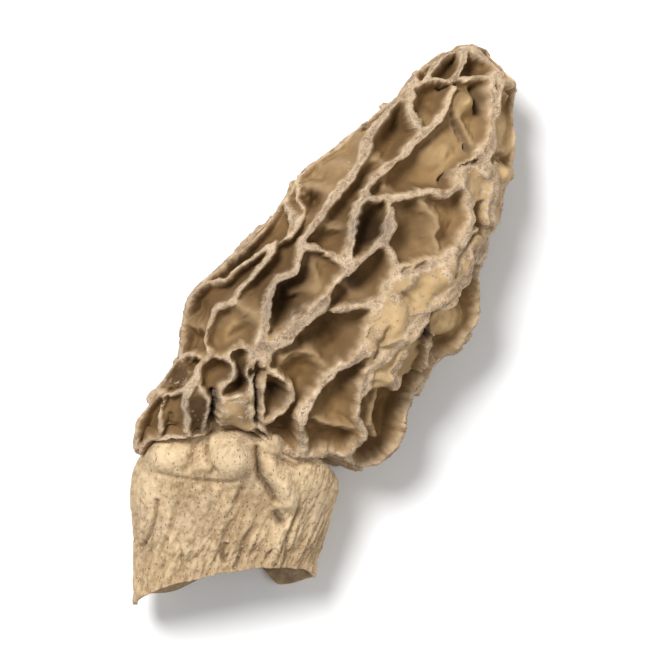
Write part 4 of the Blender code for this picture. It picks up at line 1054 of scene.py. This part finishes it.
def grainTree():
    tree, sockets, given = startTree("mealyGrains", (
        ("Per square metre", "Float", 2e6), ("Smallest", "Float", 0.1 * mm), ("Largest", "Float", 0.2 * mm),
        ("Flatness", "Float", 0.5), ("Lowest", "Float", 0.25 * mm), ("Seed", "Int", 1),
        ("Where", "String", None),
        ("Material", "Material", None)))
    place = addNode(tree, "GeometryNodeInputPosition").outputs[0]
    height = addNode(tree, "ShaderNodeSeparateXYZ", {0: place}).outputs[2]
    density = product(tree, storedShare(tree, given["Where"]), given["Per square metre"])
    density = product(tree, density, calc(tree, "GREATER_THAN", height, given["Lowest"]))
    points = addNode(tree, "GeometryNodeDistributePointsOnFaces", {
        "Mesh": given["Geometry"], "Density": density, "Seed": given["Seed"]})
    lump = addNode(tree, "GeometryNodeMeshIcoSphere", {"Radius": 1.0, "Subdivisions": 1})
    spread = addNode(tree, "FunctionNodeRandomValue", {
        2: given["Smallest"], 3: given["Largest"], "Seed": given["Seed"]}, data_type="FLOAT")
    size = spread.outputs[1]
    flat = product(tree, size, given["Flatness"])
    scale = addNode(tree, "ShaderNodeCombineXYZ", {0: size, 1: size, 2: flat}).outputs[0]
    placed = addNode(tree, "GeometryNodeInstanceOnPoints", {
        "Points": points.outputs["Points"], "Instance": lump.outputs["Mesh"],
        "Rotation": points.outputs["Rotation"], "Scale": scale})
    real = addNode(tree, "GeometryNodeRealizeInstances", {0: placed.outputs[0]})
    soft = addNode(tree, "GeometryNodeSetShadeSmooth", {0: real.outputs[0]})
    done = addNode(tree, "GeometryNodeSetMaterial", {
        "Geometry": soft.outputs[0], "Material": given["Material"]})
    addNode(tree, "NodeGroupOutput", {0: done.outputs[0]})
    return tree, sockets


def grown(name, piece, treeAndSockets, values):
    # Runs a node tree on the piece and makes its result a plain mesh in an object of its own
    tree, sockets = treeAndSockets
    modifier = piece.modifiers.new(tree.name, "NODES")
    modifier.node_group = tree
    for key, value in values.items():
        modifier[sockets[key]] = value
    bpy.context.view_layer.update()
    mesh = bpy.data.meshes.new_from_object(piece.evaluated_get(bpy.context.evaluated_depsgraph_get()))
    piece.modifiers.remove(modifier)
    mesh.name = name
    return addObject(name, mesh)


# Stem: an open tube with a thin wall, slanting wrinkles and many pinholes

# Three numbers are a height, a size and a seed. Two are a start and a length, as shares of the stem's
# length where no note says otherwise.
stemShape = {
    "rows": 170,
    "columns": 300,
    "innerRows": 46,
    "upperWeight": 1.4,
    "fullness": 2.3,
    "wall": 1.15,
    "outside": [
        (-23.2, -16.9, 1.2, -18.4, 9.4, 7.7, 7.4, 3.1), (-24.0, -19.3, 1.8, -20.0, 8.8, 8.1, 7.9, 1.6),
        (-24.2, -22.6, 1.0, -23.3, 8.2, 7.8, 7.8, 0.6), (-23.8, -26.4, 0.0, -27.0, 7.6, 7.4, 7.5, 0.4),
        (-23.9, -30.3, -0.8, -29.0, 7.3, 7.0, 7.3, 1.2), (-23.9, -34.7, -0.9, -31.0, 7.1, 6.8, 7.2, 2.3),
    ],
    "cutThinning": 0.45,
    "cutThins": (0.8, 0.2),
    "shown": (0.22, 0.1),
    "lowerPart": (0.35, 0.4),
    "spotsBegin": (0.1, 0.08),
    "spotPower": 3,
    "deepest": 0.65,  # share of the wall
    "slant": 0.38,
    "stretch": 0.18,
    "wrinkles": ((0.084, 1.1, 21), (0.056, 0.5, 22)),
    "ridges": (0.48, 1.1, 27),
    "ridgeSharpness": 4,
    "upperRidges": 0.4,
    "deepWrinkles": (0.4, 2.4, 23),
    "deepWrinkleSharpness": 7,
    "deepWrinklePlaces": (0.6, 5.0, 28),
    "pinholes": 1100,
    "pinholeDepth": 0.16,
    "pinholeReach": 0.15,
    "pinholeStart": 0.25,
    "pinholeSlit": 2.0,
    "pinholePlaces": (0.7, 1.5, 26),
    "seed": 5,
    "boreWaves": (0.15, 3.0, 24),
    "cutEnd": (0.7, 0.3),
    "lowerBow": 2.1,
    "lowerBowPower": 0.8,
    "lipFlare": 1.0,
    "lipStart": (-8.5, 3.0),  # x and length
    "slitGape": (1.5, -19.0, 3.0),  # depth, x and half width
    "cutWaves": (0.25, 3.0, 29),
    "creaseDarkness": 0.45,
    "wrinkleDarkness": 1.6,
}

# Swellings and hollows on the stem's upper side: x, y, reach and rise
stemSpots = {
    "bulge": (-11.2, -16.3, 2.6, 2.9),
    "bulgeLeft": (-15.0, -17.2, 1.2, 1.0),
    "leftSwelling": (-19.2, -16.3, 2.1, 1.5),
    "rightShoulder": (-3.4, -19.0, 2.4, 0.4),
    "hollowRun": (-8.6, -23.0, 2.6, -0.35),
    "lowSwelling": (-17.5, -26.0, 4.0, 0.35),
}

# Painted light and shade on the stem: paler on the bulge, the swellings, the ridges, the left edge and the
# right side, darker in the valleys, under and beside the bulge and in the middle: x, y, reach and how much
stemLightAndShade = {
    "bulge": (-11.2, -16.2, 2.4, 1.3),
    "leftSwelling": (-18.8, -16.4, 2.2, 0.7),
    "foldTop": (-7.0, -16.8, 1.0, 0.6),
    "leftEdge": (-22.4, -20.5, 2.0, 0.4),
    "rightRidge": (-4.8, -26.6, 1.5, 0.9),
    "rightTop": (-2.6, -20.4, 1.8, 0.5),
    "valley": (-8.4, -22.8, 2.2, -0.8),
    "besideBulge": (-7.9, -17.4, 0.6, -1.5),
    "leftValley": (-16.5, -16.4, 0.6, -0.8),
    "rightSide": (-3.0, -23.6, 2.6, 1.3),
    "underBulge": (-14.6, -19.4, 1.6, -0.7),
    "middle": (-13.4, -26.0, 3.4, -0.8),
    "betweenCreases": (-11.4, -28.3, 0.8, 2.2),
}

# Folds that stand up on the stem's upper side: half width, height and points
stemFolds = {
    "rightBand": (1.2, 1.7, [(-6.3, -14.8), (-6.6, -16.8), (-6.2, -18.4), (-5.1, -19.8), (-4.6, -21.4)]),
    "leftRoll": (1.0, 0.35, [(-22.2, -19.0), (-21.6, -22.6), (-22.2, -26.4)]),
    "middleRoll": (1.2, 0.3, [(-14.2, -20.5), (-15.2, -24.0), (-16.6, -28.0)]),
    "bulgeRoll": (0.7, 0.45, [(-10.9, -20.6), (-11.6, -22.6), (-12.6, -24.6)]),
    "rightRidge": (0.8, 0.55, [(-4.9, -24.8), (-5.6, -26.4), (-6.1, -28.8)]),
}

# Creases cut into the stem's upper side: half width, depth and points
stemCreases = {
    "curved": (0.34, 1.5, [(-8.3, -14.9), (-8.2, -16.8), (-7.9, -18.4), (-6.7, -20.2), (-6.1, -21.4)]),
    "bulgeLine": (0.36, 0.45, [
        (-20.2, -18.1), (-17.0, -18.9), (-14.2, -19.2), (-11.5, -19.0), (-9.4, -18.4)]),
    "rimFold": (0.3, 0.7, [(-7.1, -15.7), (-5.4, -16.4), (-3.4, -17.3)]),
    "bulgeEdge": (0.3, 0.7, [(-14.3, -13.8), (-14.4, -15.2), (-14.0, -16.6), (-13.1, -17.7)]),
    "valley": (0.32, 0.5, [(-15.9, -14.4), (-16.4, -16.0), (-17.2, -17.8)]),
    "longCrease": (0.28, 0.8, [(-8.4, -24.8), (-9.7, -26.3), (-10.2, -27.8)]),
    "longCreaseFoot": (0.24, 1.9, [(-10.1, -27.6), (-10.5, -28.6), (-11.0, -29.8)]),
    "shortCrease": (0.26, 0.4, [(-11.5, -24.0), (-12.2, -25.8), (-12.4, -27.2)]),
    "shortCreaseFoot": (0.24, 1.7, [(-12.1, -27.0), (-12.6, -28.0), (-12.3, -29.1)]),
    "underBulge": (0.36, 0.55, [(-10.3, -20.0), (-11.1, -22.2), (-11.9, -23.5)]),
    "leftCrease": (0.28, 0.8, [(-20.7, -21.6), (-21.0, -24.2), (-21.8, -26.2), (-22.5, -27.4)]),
    "slantedLine": (0.3, 0.3, [(-17.6, -19.6), (-18.0, -21.6), (-18.8, -24.4), (-19.8, -27.2)]),
    "rightLine": (0.3, 0.5, [(-3.1, -21.4), (-3.4, -23.3), (-4.5, -26.1), (-4.8, -28.8)]),
    "wornPit": (0.42, 2.2, [(-5.9, -23.3), (-5.3, -24.1)]),
}


def stemWall(count):
    # The wall's thickness at even steps from the neck to the cut end
    share = np.linspace(0.0, 1.0, count)[:, None]
    return stemShape["wall"] * (1 - stemShape["cutThinning"] * fadeIn(share, *stemShape["cutThins"]))


def stemMesh():
    shape = stemShape
    rows, columns, innerRows = (shape[key] for key in ("rows", "columns", "innerRows"))
    angles = evenAngles(shape["outside"][2], columns, shape["fullness"], shape["upperWeight"])
    stations = (capShape["neckTop"], capShape["neck"], *shape["outside"])
    tube = sectionRings(smoothPath(stations, rows), angles, shape["fullness"])
    bore = sectionRings(smoothPath(stations, innerRows), angles, shape["fullness"])
    share = np.linspace(0.0, 1.0, rows)[:, None]
    inward = inwardDirections(tube)
    upper = np.sin(angles) > 0
    shown, lower = fadeIn(share, *shape["shown"]), fadeIn(share, *shape["lowerPart"])

    # Wrinkles and ridges run down the stem and slant to the left
    turned = tube.copy()
    turned[..., 0] = tube[..., 0] - shape["slant"] * tube[..., 1]
    turned[..., 1] = tube[..., 1] * shape["stretch"]
    ridgeHeight, ridgeSize, ridgeSeed = shape["ridges"]
    ridges = (1 - np.abs(waves(turned, ridgeSize, ridgeSeed))) ** shape["ridgeSharpness"]
    ridges *= shape["upperRidges"] + (1 - shape["upperRidges"]) * lower
    deepHeight, deepSize, deepSeed = shape["deepWrinkles"]
    valley = np.clip(1 - shape["deepWrinkleSharpness"] * np.abs(waves(turned, deepSize, deepSeed)), 0, 1)
    valley *= lower * someOf(tube, *shape["deepWrinklePlaces"])
    sunk = shown * (waveSum(turned, *shape["wrinkles"]) + ridgeHeight * ridges + deepHeight * valley)
    tubeTree = surfaceTree(tube)
    crease = lineField(tube, droppedLines(tubeTree, stemCreases))
    sunk -= lineField(tube, droppedLines(tubeTree, stemFolds))
    sunk -= spotSum(tube, stemSpots, upper, shape["spotPower"]) * fadeIn(share, *shape["spotsBegin"])

    # Pinholes are short slits along the wrinkles
    draw = random.Random(shape["seed"])
    tree = KDTree(shape["pinholes"])
    squeezed = turned * (1.0, shape["pinholeSlit"], 1.0)
    for number in range(shape["pinholes"]):
        spot = squeezed[draw.randrange(int(rows * shape["pinholeStart"]), rows), draw.randrange(columns)]
        tree.insert(spot, number)
    tree.balance()
    away = np.array([tree.find(place)[2] for place in squeezed.reshape(-1, 3).tolist()])
    away = away.reshape(rows, columns) / shape["pinholeReach"]
    pinhole = np.exp(-(away**2)) * someOf(tube, *shape["pinholePlaces"])
    sunk += shown * (shape["pinholeDepth"] * pinhole + crease)
    sunk = np.minimum(sunk, shape["deepest"] * stemWall(rows))
    tube += inward * sunk[..., None]
    bore += inwardDirections(bore) * (stemWall(innerRows) + waveSum(bore, shape["boreWaves"]))[..., None]

    # The cut edge's lower side lies under the upper one, apart from a gaping slit and a lip that flares
    gape, slitX, slitWidth = shape["slitGape"]
    for wall in (tube, bore):
        near = fadeIn(np.linspace(0, 1, len(wall)), *shape["cutEnd"])[:, None]
        under = np.clip(-np.sin(angles), 0, None) ** shape["lowerBowPower"]
        right = fadeIn(wall[..., 0], *shape["lipStart"])
        slit = gape * np.exp(-(((wall[..., 0] - slitX) / slitWidth) ** 2))
        bow = (shape["lowerBow"] - slit) * (1 - right)
        wall[..., 1] += near * under * (bow - shape["lipFlare"] * right)
        wall[..., 1] += near * waveSum(wall, shape["cutWaves"])
    grid = np.concatenate([tube, bore[::-1]])
    grid[..., 2] = np.maximum(grid[..., 2], 0.0)
    seen = np.broadcast_to(shown, (rows, columns))
    shares = {
        "crestShare": seen,
        "insideShare": 0 * seen,
        "pinholeShare": pinhole * seen,
        # Painted shade: darker where the surface sinks into wrinkles, creases and pinholes
        "wrinkleShadeShare": np.clip(shape["wrinkleDarkness"] * sunk, 0, 1) * seen,
        "grainShare": seen * (1 - pinhole),
        # Painted shade in the creases
        "creaseShadeShare": np.clip(shape["creaseDarkness"] * crease, 0, 1) * seen,
        "stemLightAndShadeShare": spotSum(tube, stemLightAndShade, upper),
    }
    for key, values in shares.items():
        ends = np.full((innerRows, columns), 1.0 if key == "insideShare" else 0.0)
        shares[key] = np.concatenate([values, ends])
    return outwardFaces(gridMesh("stem", grid, shares, closed=True))


# Colours and finishes

capColours = {
    # The floor colours darken from the pale floor to the hole floor with depth, a painted shade; the dark
    # skin, wall and hole floor colours are painted shade, and the lit wall colour is painted light
    "paleFloor": (0.33, 0.205, 0.092),
    "floor": (0.225, 0.13, 0.05),
    "deepFloor": (0.14, 0.076, 0.026),
    "paintedShadeBrown": (0.078, 0.039, 0.011),
    "wall": (0.12, 0.067, 0.025),
    "litWall": (0.17, 0.1, 0.045),
    "amber": (0.36, 0.215, 0.085),
    "holeFloor": (0.062, 0.033, 0.013),
    "yellowSkinAndLight": (0.56, 0.385, 0.19),
    "patchSkin": (0.42, 0.295, 0.165),
    "greyCrest": (0.27, 0.21, 0.155),
    "crestDark": (0.25, 0.175, 0.112),
    "crestMiddle": (0.47, 0.337, 0.215),
    "crestLight": (0.68, 0.52, 0.36),
    "edge": (0.72, 0.56, 0.39),
    "fleck": (0.085, 0.057, 0.038),
    "groove": (0.24, 0.175, 0.122),
}


# How the netted skin is mixed: a pair is a gain and an offset, and a single number is a share
netLook = {
    "noises": {
        "broad": (5.0,), "mottle": (1.1, 5.0), "speck": (0.3, 3.0, 0.7), "amber": (2.4, 4.0),
        "slow": (2.2, 2.0), "crust": (0.9, 4.0)},
    "broadTone": (0.6, -0.3),
    "mottleTone": (0.5, -0.25),
    "pitDepthShade": 0.6,
    "floorTones": {"paleFloor": 0.15, "floor": 0.5, "deepFloor": 0.8, "holeFloor": 1.0},
    "amber": (4.0, -2.15),
    "amberShare": 0.5,
    # Floor layers: the dark spots and the wall band are painted shade, the pale spots pale skin with some
    # painted light
    "floorLayers": (
        ("patchShare", "patchSkin", (1.6, 0.0)), ("paintedShadeShare", "paintedShadeBrown", (1.2, 0.2)),
        ("wallShadeShare", "wall", (0.6, 0.0)), ("paleShare", "yellowSkinAndLight", (1.8, -0.1)),
        ("sillShare", "patchSkin", (1.2, -0.1))),
    "litShare": 0.85,
    "crestMottle": 0.35,
    "crestSpeck": 0.65,
    "slowTone": (0.36, -0.18),
    "crestTones": {"crestDark": 0.39, "crestMiddle": 0.49, "crestLight": 0.6},
    "grooveShare": 0.6,
    "yellowCrest": 0.25,
    "dusk": (2.4, -0.65),
    "duskShare": 0.75,
    "flecks": {"black": 0.54, "white": 0.6},
    "fleckShare": 0.6,
    "border": (4.0, -1.6),
    "crust": (6.0, -3.1),
    "mask": {"black": 0.38, "white": 0.62},
    "edge": (2.0, -0.5),
    "cutShadeShare": 0.8,
    "roughness": (0.2, 0.68),
    "specular": 0.16,
    "patchCoarse": 0.6,
    "coarse": (0.8, 0.25),
    "bump": (0.5, 0.18),
}


def netSkin():
    look = netLook
    material, tree, shader, place = startMaterial("Netted skin")
    noises = {key: noisy(tree, place, *values) for key, values in look["noises"].items()}
    mottle, speck = noises["mottle"], noises["speck"]
    mottleTone = scaled(tree, mottle, look["mottleTone"])

    def mottled(name, gainAndOffset):
        return product(tree, attribute(tree, name), scaled(tree, mottle, gainAndOffset), clamp=True)

    # The smoother skin of the pits: random tone, darkened with depth as painted shade
    tone = calc(tree, "ADD", scaled(tree, noises["broad"], look["broadTone"]), mottleTone)
    tone = calc(tree, "ADD", tone, product(tree, attribute(tree, "pitShare"), look["pitDepthShade"]), clamp=True)
    floor = ramp(tree, tone, look["floorTones"], capColours)
    amber = scaled(tree, noises["amber"], look["amber"], clamp=True)
    floor = blended(tree, product(tree, amber, look["amberShare"]), floor, capColours["amber"])
    layers = {}
    for name, colour, gainAndOffset in look["floorLayers"]:
        layers[name] = mottled(name, gainAndOffset)
        floor = blended(tree, layers[name], floor, capColours[colour])
    # Painted light: walls that face the key light take the lit wall colour
    lit = product(tree, attribute(tree, "litShare"), look["litShare"])
    floor = blended(tree, lit, floor, capColours["litWall"])
    # Painted shade: past a share of 1 the deep pits are painted toward the near-black hole floor
    dark = attribute(tree, "paintedShadeShare")
    floor = blended(tree, calc(tree, "SUBTRACT", dark, 1.0, clamp=True), floor, capColours["holeFloor"])

    # The rough, flecked skin of the crests
    grain = scaled(tree, speck, (look["crestSpeck"], product(tree, mottle, look["crestMottle"])))
    grain = calc(tree, "ADD", grain, scaled(tree, noises["slow"], look["slowTone"]))
    rough = ramp(tree, grain, look["crestTones"], capColours)
    groove = product(tree, attribute(tree, "grooveShare"), look["grooveShare"])
    rough = blended(tree, groove, rough, capColours["groove"])
    yellow = product(tree, layers["paleShare"], look["yellowCrest"])
    rough = blended(tree, yellow, rough, capColours["yellowSkinAndLight"])
    dusk = product(tree, dark, scaled(tree, mottle, look["dusk"], clamp=True), clamp=True)
    rough = blended(tree, product(tree, dusk, look["duskShare"]), rough, capColours["greyCrest"])
    both = calc(tree, "ADD", mottle, speck)
    flecks = ramp(tree, product(tree, both, 0.5), look["flecks"], greys)
    rough = blended(tree, product(tree, flecks, look["fleckShare"]), rough, capColours["fleck"])

    # Where the rough skin lies: on crests, along the borders of patches and in crusts over them
    patch = attribute(tree, "patchShare")
    border = product(tree, attribute(tree, "borderShare"), scaled(tree, mottle, look["border"], clamp=True))
    crust = product(tree, patch, scaled(tree, noises["crust"], look["crust"], clamp=True))
    crest = calc(tree, "MAXIMUM", attribute(tree, "crestShare"), calc(tree, "MAXIMUM", border, crust))
    mask = ramp(tree, calc(tree, "ADD", crest, mottleTone), look["mask"], greys)
    colour = blended(tree, mask, floor, rough)
    colour = blended(tree, mottled("edgeShare", look["edge"]), colour, capColours["edge"])
    # Painted shade: the narrow cuts are painted dark
    cut = product(tree, attribute(tree, "cutShadeShare"), look["cutShadeShare"], clamp=True)
    colour = blended(tree, cut, colour, capColours["fleck"])
    tree.links.new(colour, shader.inputs["Base Color"])
    tree.links.new(scaled(tree, mask, look["roughness"]), shader.inputs["Roughness"])
    shader.inputs["Specular IOR Level"].default_value = look["specular"]
    coarse = calc(tree, "MAXIMUM", mask, product(tree, patch, look["patchCoarse"]))
    addBump(tree, shader, product(tree, both, scaled(tree, coarse, look["coarse"])), *look["bump"])
    return material


stemColours = {
    "granule": (0.79, 0.62, 0.41),
    "light": (0.74, 0.565, 0.35),
    "middle": (0.60, 0.44, 0.262),
    "dark": (0.40, 0.272, 0.15),
    "pinhole": (0.2, 0.12, 0.06),
    "grey": (0.47, 0.36, 0.25),
    "crease": (0.075, 0.048, 0.03),
    "inside": (0.5, 0.36, 0.21),
    "insideDark": (0.3, 0.2, 0.11),
}


stemLook = {
    "noises": {"broad": (5.0,), "mottle": (0.9, 5.0), "speck": (0.28, 3.0, 0.7), "slow": (7.0, 2.0)},
    "toneShift": -0.015,
    "toneMix": {"broad": 0.35, "mottle": 0.45, "speck": 0.2},
    "stemLightAndShadeShare": 0.07,
    "tones": {"dark": 0.39, "middle": 0.48, "light": 0.58},
    "grey": (3.0, -1.3),
    "greyShare": 0.55,
    "wrinkleShadeShare": 0.8,
    "slits": {"Rotation": (0.0, 0.0, 0.35), "Scale": (1.0, 0.45, 1.0)},
    "pricks": ((0.45, 0.24), (0.8, 0.15)),  # spacing and reach
    "prickMottle": (3.0, -0.6),
    "prickShare": 0.7,
    "pinholeShare": 0.5,
    "creaseShadeShare": 0.9,
    "roughness": 0.85,
    "specular": 0.16,
    "bump": (0.7, 0.2),
}


def stemSkin():
    look = stemLook
    material, tree, shader, place = startMaterial("Granular stem")
    noises = {key: noisy(tree, place, *values) for key, values in look["noises"].items()}
    mottle, speck = noises["mottle"], noises["speck"]
    tone = look["toneShift"]
    for key, gain in look["toneMix"].items():
        tone = scaled(tree, noises[key], (gain, tone))
    # Painted light and shade: the stem's light and shade spots shift the tone
    tone = scaled(tree, attribute(tree, "stemLightAndShadeShare"), (look["stemLightAndShadeShare"], tone))
    colour = ramp(tree, tone, look["tones"], stemColours)
    grey = scaled(tree, noises["slow"], look["grey"], clamp=True)
    colour = blended(tree, product(tree, grey, look["greyShare"]), colour, stemColours["grey"])
    # Painted shade: the stem is painted darker where its surface sinks
    wrinkle = product(tree, attribute(tree, "wrinkleShadeShare"), look["wrinkleShadeShare"])
    colour = blended(tree, wrinkle, colour, stemColours["dark"])

    # Dark pricks are short slits that lie in the pinholes and between them
    slits = addNode(tree, "ShaderNodeMapping", {"Vector": place, **look["slits"]}).outputs[0]
    pricks = 0.0
    for spacing, reach in look["pricks"]:
        cells = addNode(tree, "ShaderNodeTexVoronoi", {"Vector": slits, "Scale": 1 / (spacing * mm)})
        spots = ramp(tree, cells.outputs["Distance"], {"white": 0.5 * reach, "black": reach}, greys)
        pricks = calc(tree, "MAXIMUM", pricks, spots)
    pricks = product(tree, pricks, scaled(tree, mottle, look["prickMottle"], clamp=True))
    pinholes = product(tree, attribute(tree, "pinholeShare"), look["pinholeShare"])
    dark = calc(tree, "MAXIMUM", pricks, pinholes)
    colour = blended(tree, product(tree, dark, look["prickShare"]), colour, stemColours["pinhole"])
    # Painted shade: the creases are painted nearly black
    crease = product(tree, attribute(tree, "creaseShadeShare"), look["creaseShadeShare"])
    colour = blended(tree, crease, colour, stemColours["crease"])
    tree.links.new(colour, shader.inputs["Base Color"])
    shader.inputs["Roughness"].default_value = look["roughness"]
    shader.inputs["Specular IOR Level"].default_value = look["specular"]
    addBump(tree, shader, calc(tree, "SUBTRACT", calc(tree, "ADD", mottle, speck), dark), *look["bump"])
    return material


plainLook = {
    "hollowMottle": (1.4, 4.0),
    "hollowSpeck": (0.35, 3.0),
    "hollowTones": {"insideDark": 0.35, "inside": 0.62},
    "hollowRoughness": 0.8,
    "hollowBump": (0.6, 0.2),
    "grainMottle": (0.5, 2.0),
    "grainTones": {"dark": 0.35, "light": 0.6},
    "grainRoughness": 0.85,
}


def hollowSkin():
    look = plainLook
    material, tree, shader, place = startMaterial("Hollow wall")
    mottle, speck = (noisy(tree, place, *look[key]) for key in ("hollowMottle", "hollowSpeck"))
    tree.links.new(ramp(tree, mottle, look["hollowTones"], stemColours), shader.inputs["Base Color"])
    shader.inputs["Roughness"].default_value = look["hollowRoughness"]
    addBump(tree, shader, calc(tree, "ADD", mottle, speck), *look["hollowBump"])
    return material


def grainSkin(name, dark, light):
    material, tree, shader, place = startMaterial(name)
    mottle = noisy(tree, place, *plainLook["grainMottle"])
    colour = ramp(tree, mottle, plainLook["grainTones"], {"dark": dark, "light": light})
    tree.links.new(colour, shader.inputs["Base Color"])
    shader.inputs["Roughness"].default_value = plainLook["grainRoughness"]
    return material


# Build the pieces

capRoughness = {
    "Crumb height": 0.2 * mm, "Crumb size": 0.6 * mm,
    "Wrinkle height": 0.05 * mm, "Wrinkle size": 1.3 * mm, "Seed": 3.0}
stemRoughness = {
    "Crumb height": 0.07 * mm, "Crumb size": 0.45 * mm,
    "Wrinkle height": 0.05 * mm, "Wrinkle size": 2.0 * mm, "Seed": 7.0}
capCrumbs = {
    "Per square metre": 1.3e6, "Smallest": 0.06 * mm, "Largest": 0.14 * mm, "Flatness": 0.6,
    "Lowest": 0.25 * mm, "Seed": 4, "Where": "crestShare"}
stemGrains = {
    "Per square metre": 1.4e6, "Smallest": 0.05 * mm, "Largest": 0.1 * mm, "Flatness": 0.5,
    "Lowest": 0.25 * mm, "Seed": 9, "Where": "grainShare"}

skin = skinTree()
grains = grainTree()
netMaterial, stemMaterial, hollowMaterial = netSkin(), stemSkin(), hollowSkin()


def finishedPiece(name, mesh, roughness, outside):
    rough = addObject(name + "Rough", mesh)
    made = grown(name, rough, skin, {**roughness, "Outside": outside, "Inside": hollowMaterial})
    bpy.data.objects.remove(rough)
    return made


cap = finishedPiece("fineCap", capMesh(), capRoughness, netMaterial)
print("cap made:", len(cap.data.polygons), "faces")
stem = finishedPiece("fineStem", stemMesh(), stemRoughness, stemMaterial)
print("stem made:", len(stem.data.polygons), "faces")
crumbMaterial = grainSkin("Crest crumbs", capColours["crestDark"], capColours["crestLight"])
grainMaterial = grainSkin("Stem grains", stemColours["middle"], stemColours["granule"])
crumbs = grown("capCrumbs", cap, grains, {**capCrumbs, "Material": crumbMaterial})
stemGrain = grown("stemGrains", stem, grains, {**stemGrains, "Material": grainMaterial})
print("grains made:", len(crumbs.data.polygons), len(stemGrain.data.polygons), "faces")

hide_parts("cap")
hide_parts("stem")
for piece, slotName in ((cap, "cap"), (stem, "stem"), (crumbs, "cap"), (stemGrain, "stem")):
    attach(piece, "root")


# Floor, light and camera

stage = {
    "floorSize": 3.0,
    "floorDrop": 0.00005,
    "floorColour": (0.93, 0.93, 0.93),
    "floorRoughness": 0.9,
    "worldStrength": 0.36,
    "keyPlace": (-0.27, 0.35, 0.78),
    "keySize": 0.34,
    "keyPower": 8.4,
    "fillPlace": (0.5, -0.1, 0.7),
    "fillSize": 0.5,
    "fillPower": 1.6,
    "lens": 250.0,
    "clipEnd": 10.0,
    "viewHeight": 0.080,
}


def addFloor():
    half = stage["floorSize"] / 2
    mesh = bpy.data.meshes.new("floor")
    corners = [(-half, -half, 0), (half, -half, 0), (half, half, 0), (-half, half, 0)]
    mesh.from_pydata(corners, [], [(0, 1, 2, 3)])
    floor = addObject("floor", mesh)
    floor.location.z = -stage["floorDrop"]
    material, _, shader, _ = startMaterial("Pale board")
    shader.inputs["Base Color"].default_value = (*stage["floorColour"], 1.0)
    shader.inputs["Roughness"].default_value = stage["floorRoughness"]
    mesh.materials.append(material)


def addLight(name, place, size, power):
    data = bpy.data.lights.new(name, "AREA")
    data.shape = "DISK"
    data.size = size
    data.energy = power
    light = addObject(name, data)
    light.location = place
    light.rotation_euler = (-Vector(place)).to_track_quat("-Z", "Y").to_euler()


addFloor()
addLight("keyLight", stage["keyPlace"], stage["keySize"], stage["keyPower"])
addLight("fillLight", stage["fillPlace"], stage["fillSize"], stage["fillPower"])
world = bpy.data.worlds.new("Studio")
world.use_nodes = True
world.node_tree.nodes["Background"].inputs["Color"].default_value = (1.0, 1.0, 1.0, 1.0)
world.node_tree.nodes["Background"].inputs["Strength"].default_value = stage["worldStrength"]
bpy.context.scene.world = world
bpy.context.scene.view_settings.view_transform = "Standard"

cameraData = bpy.data.cameras.new("camera")
cameraData.lens = stage["lens"]
cameraData.clip_end = stage["clipEnd"]
camera = addObject("camera", cameraData)
low, high = cadBox
middle = (low + high) / 2
distance = stage["viewHeight"] * stage["lens"] / cameraData.sensor_width
camera.location = (middle.x, middle.y, middle.z + distance)
bpy.context.scene.camera = camera
print("stage set")
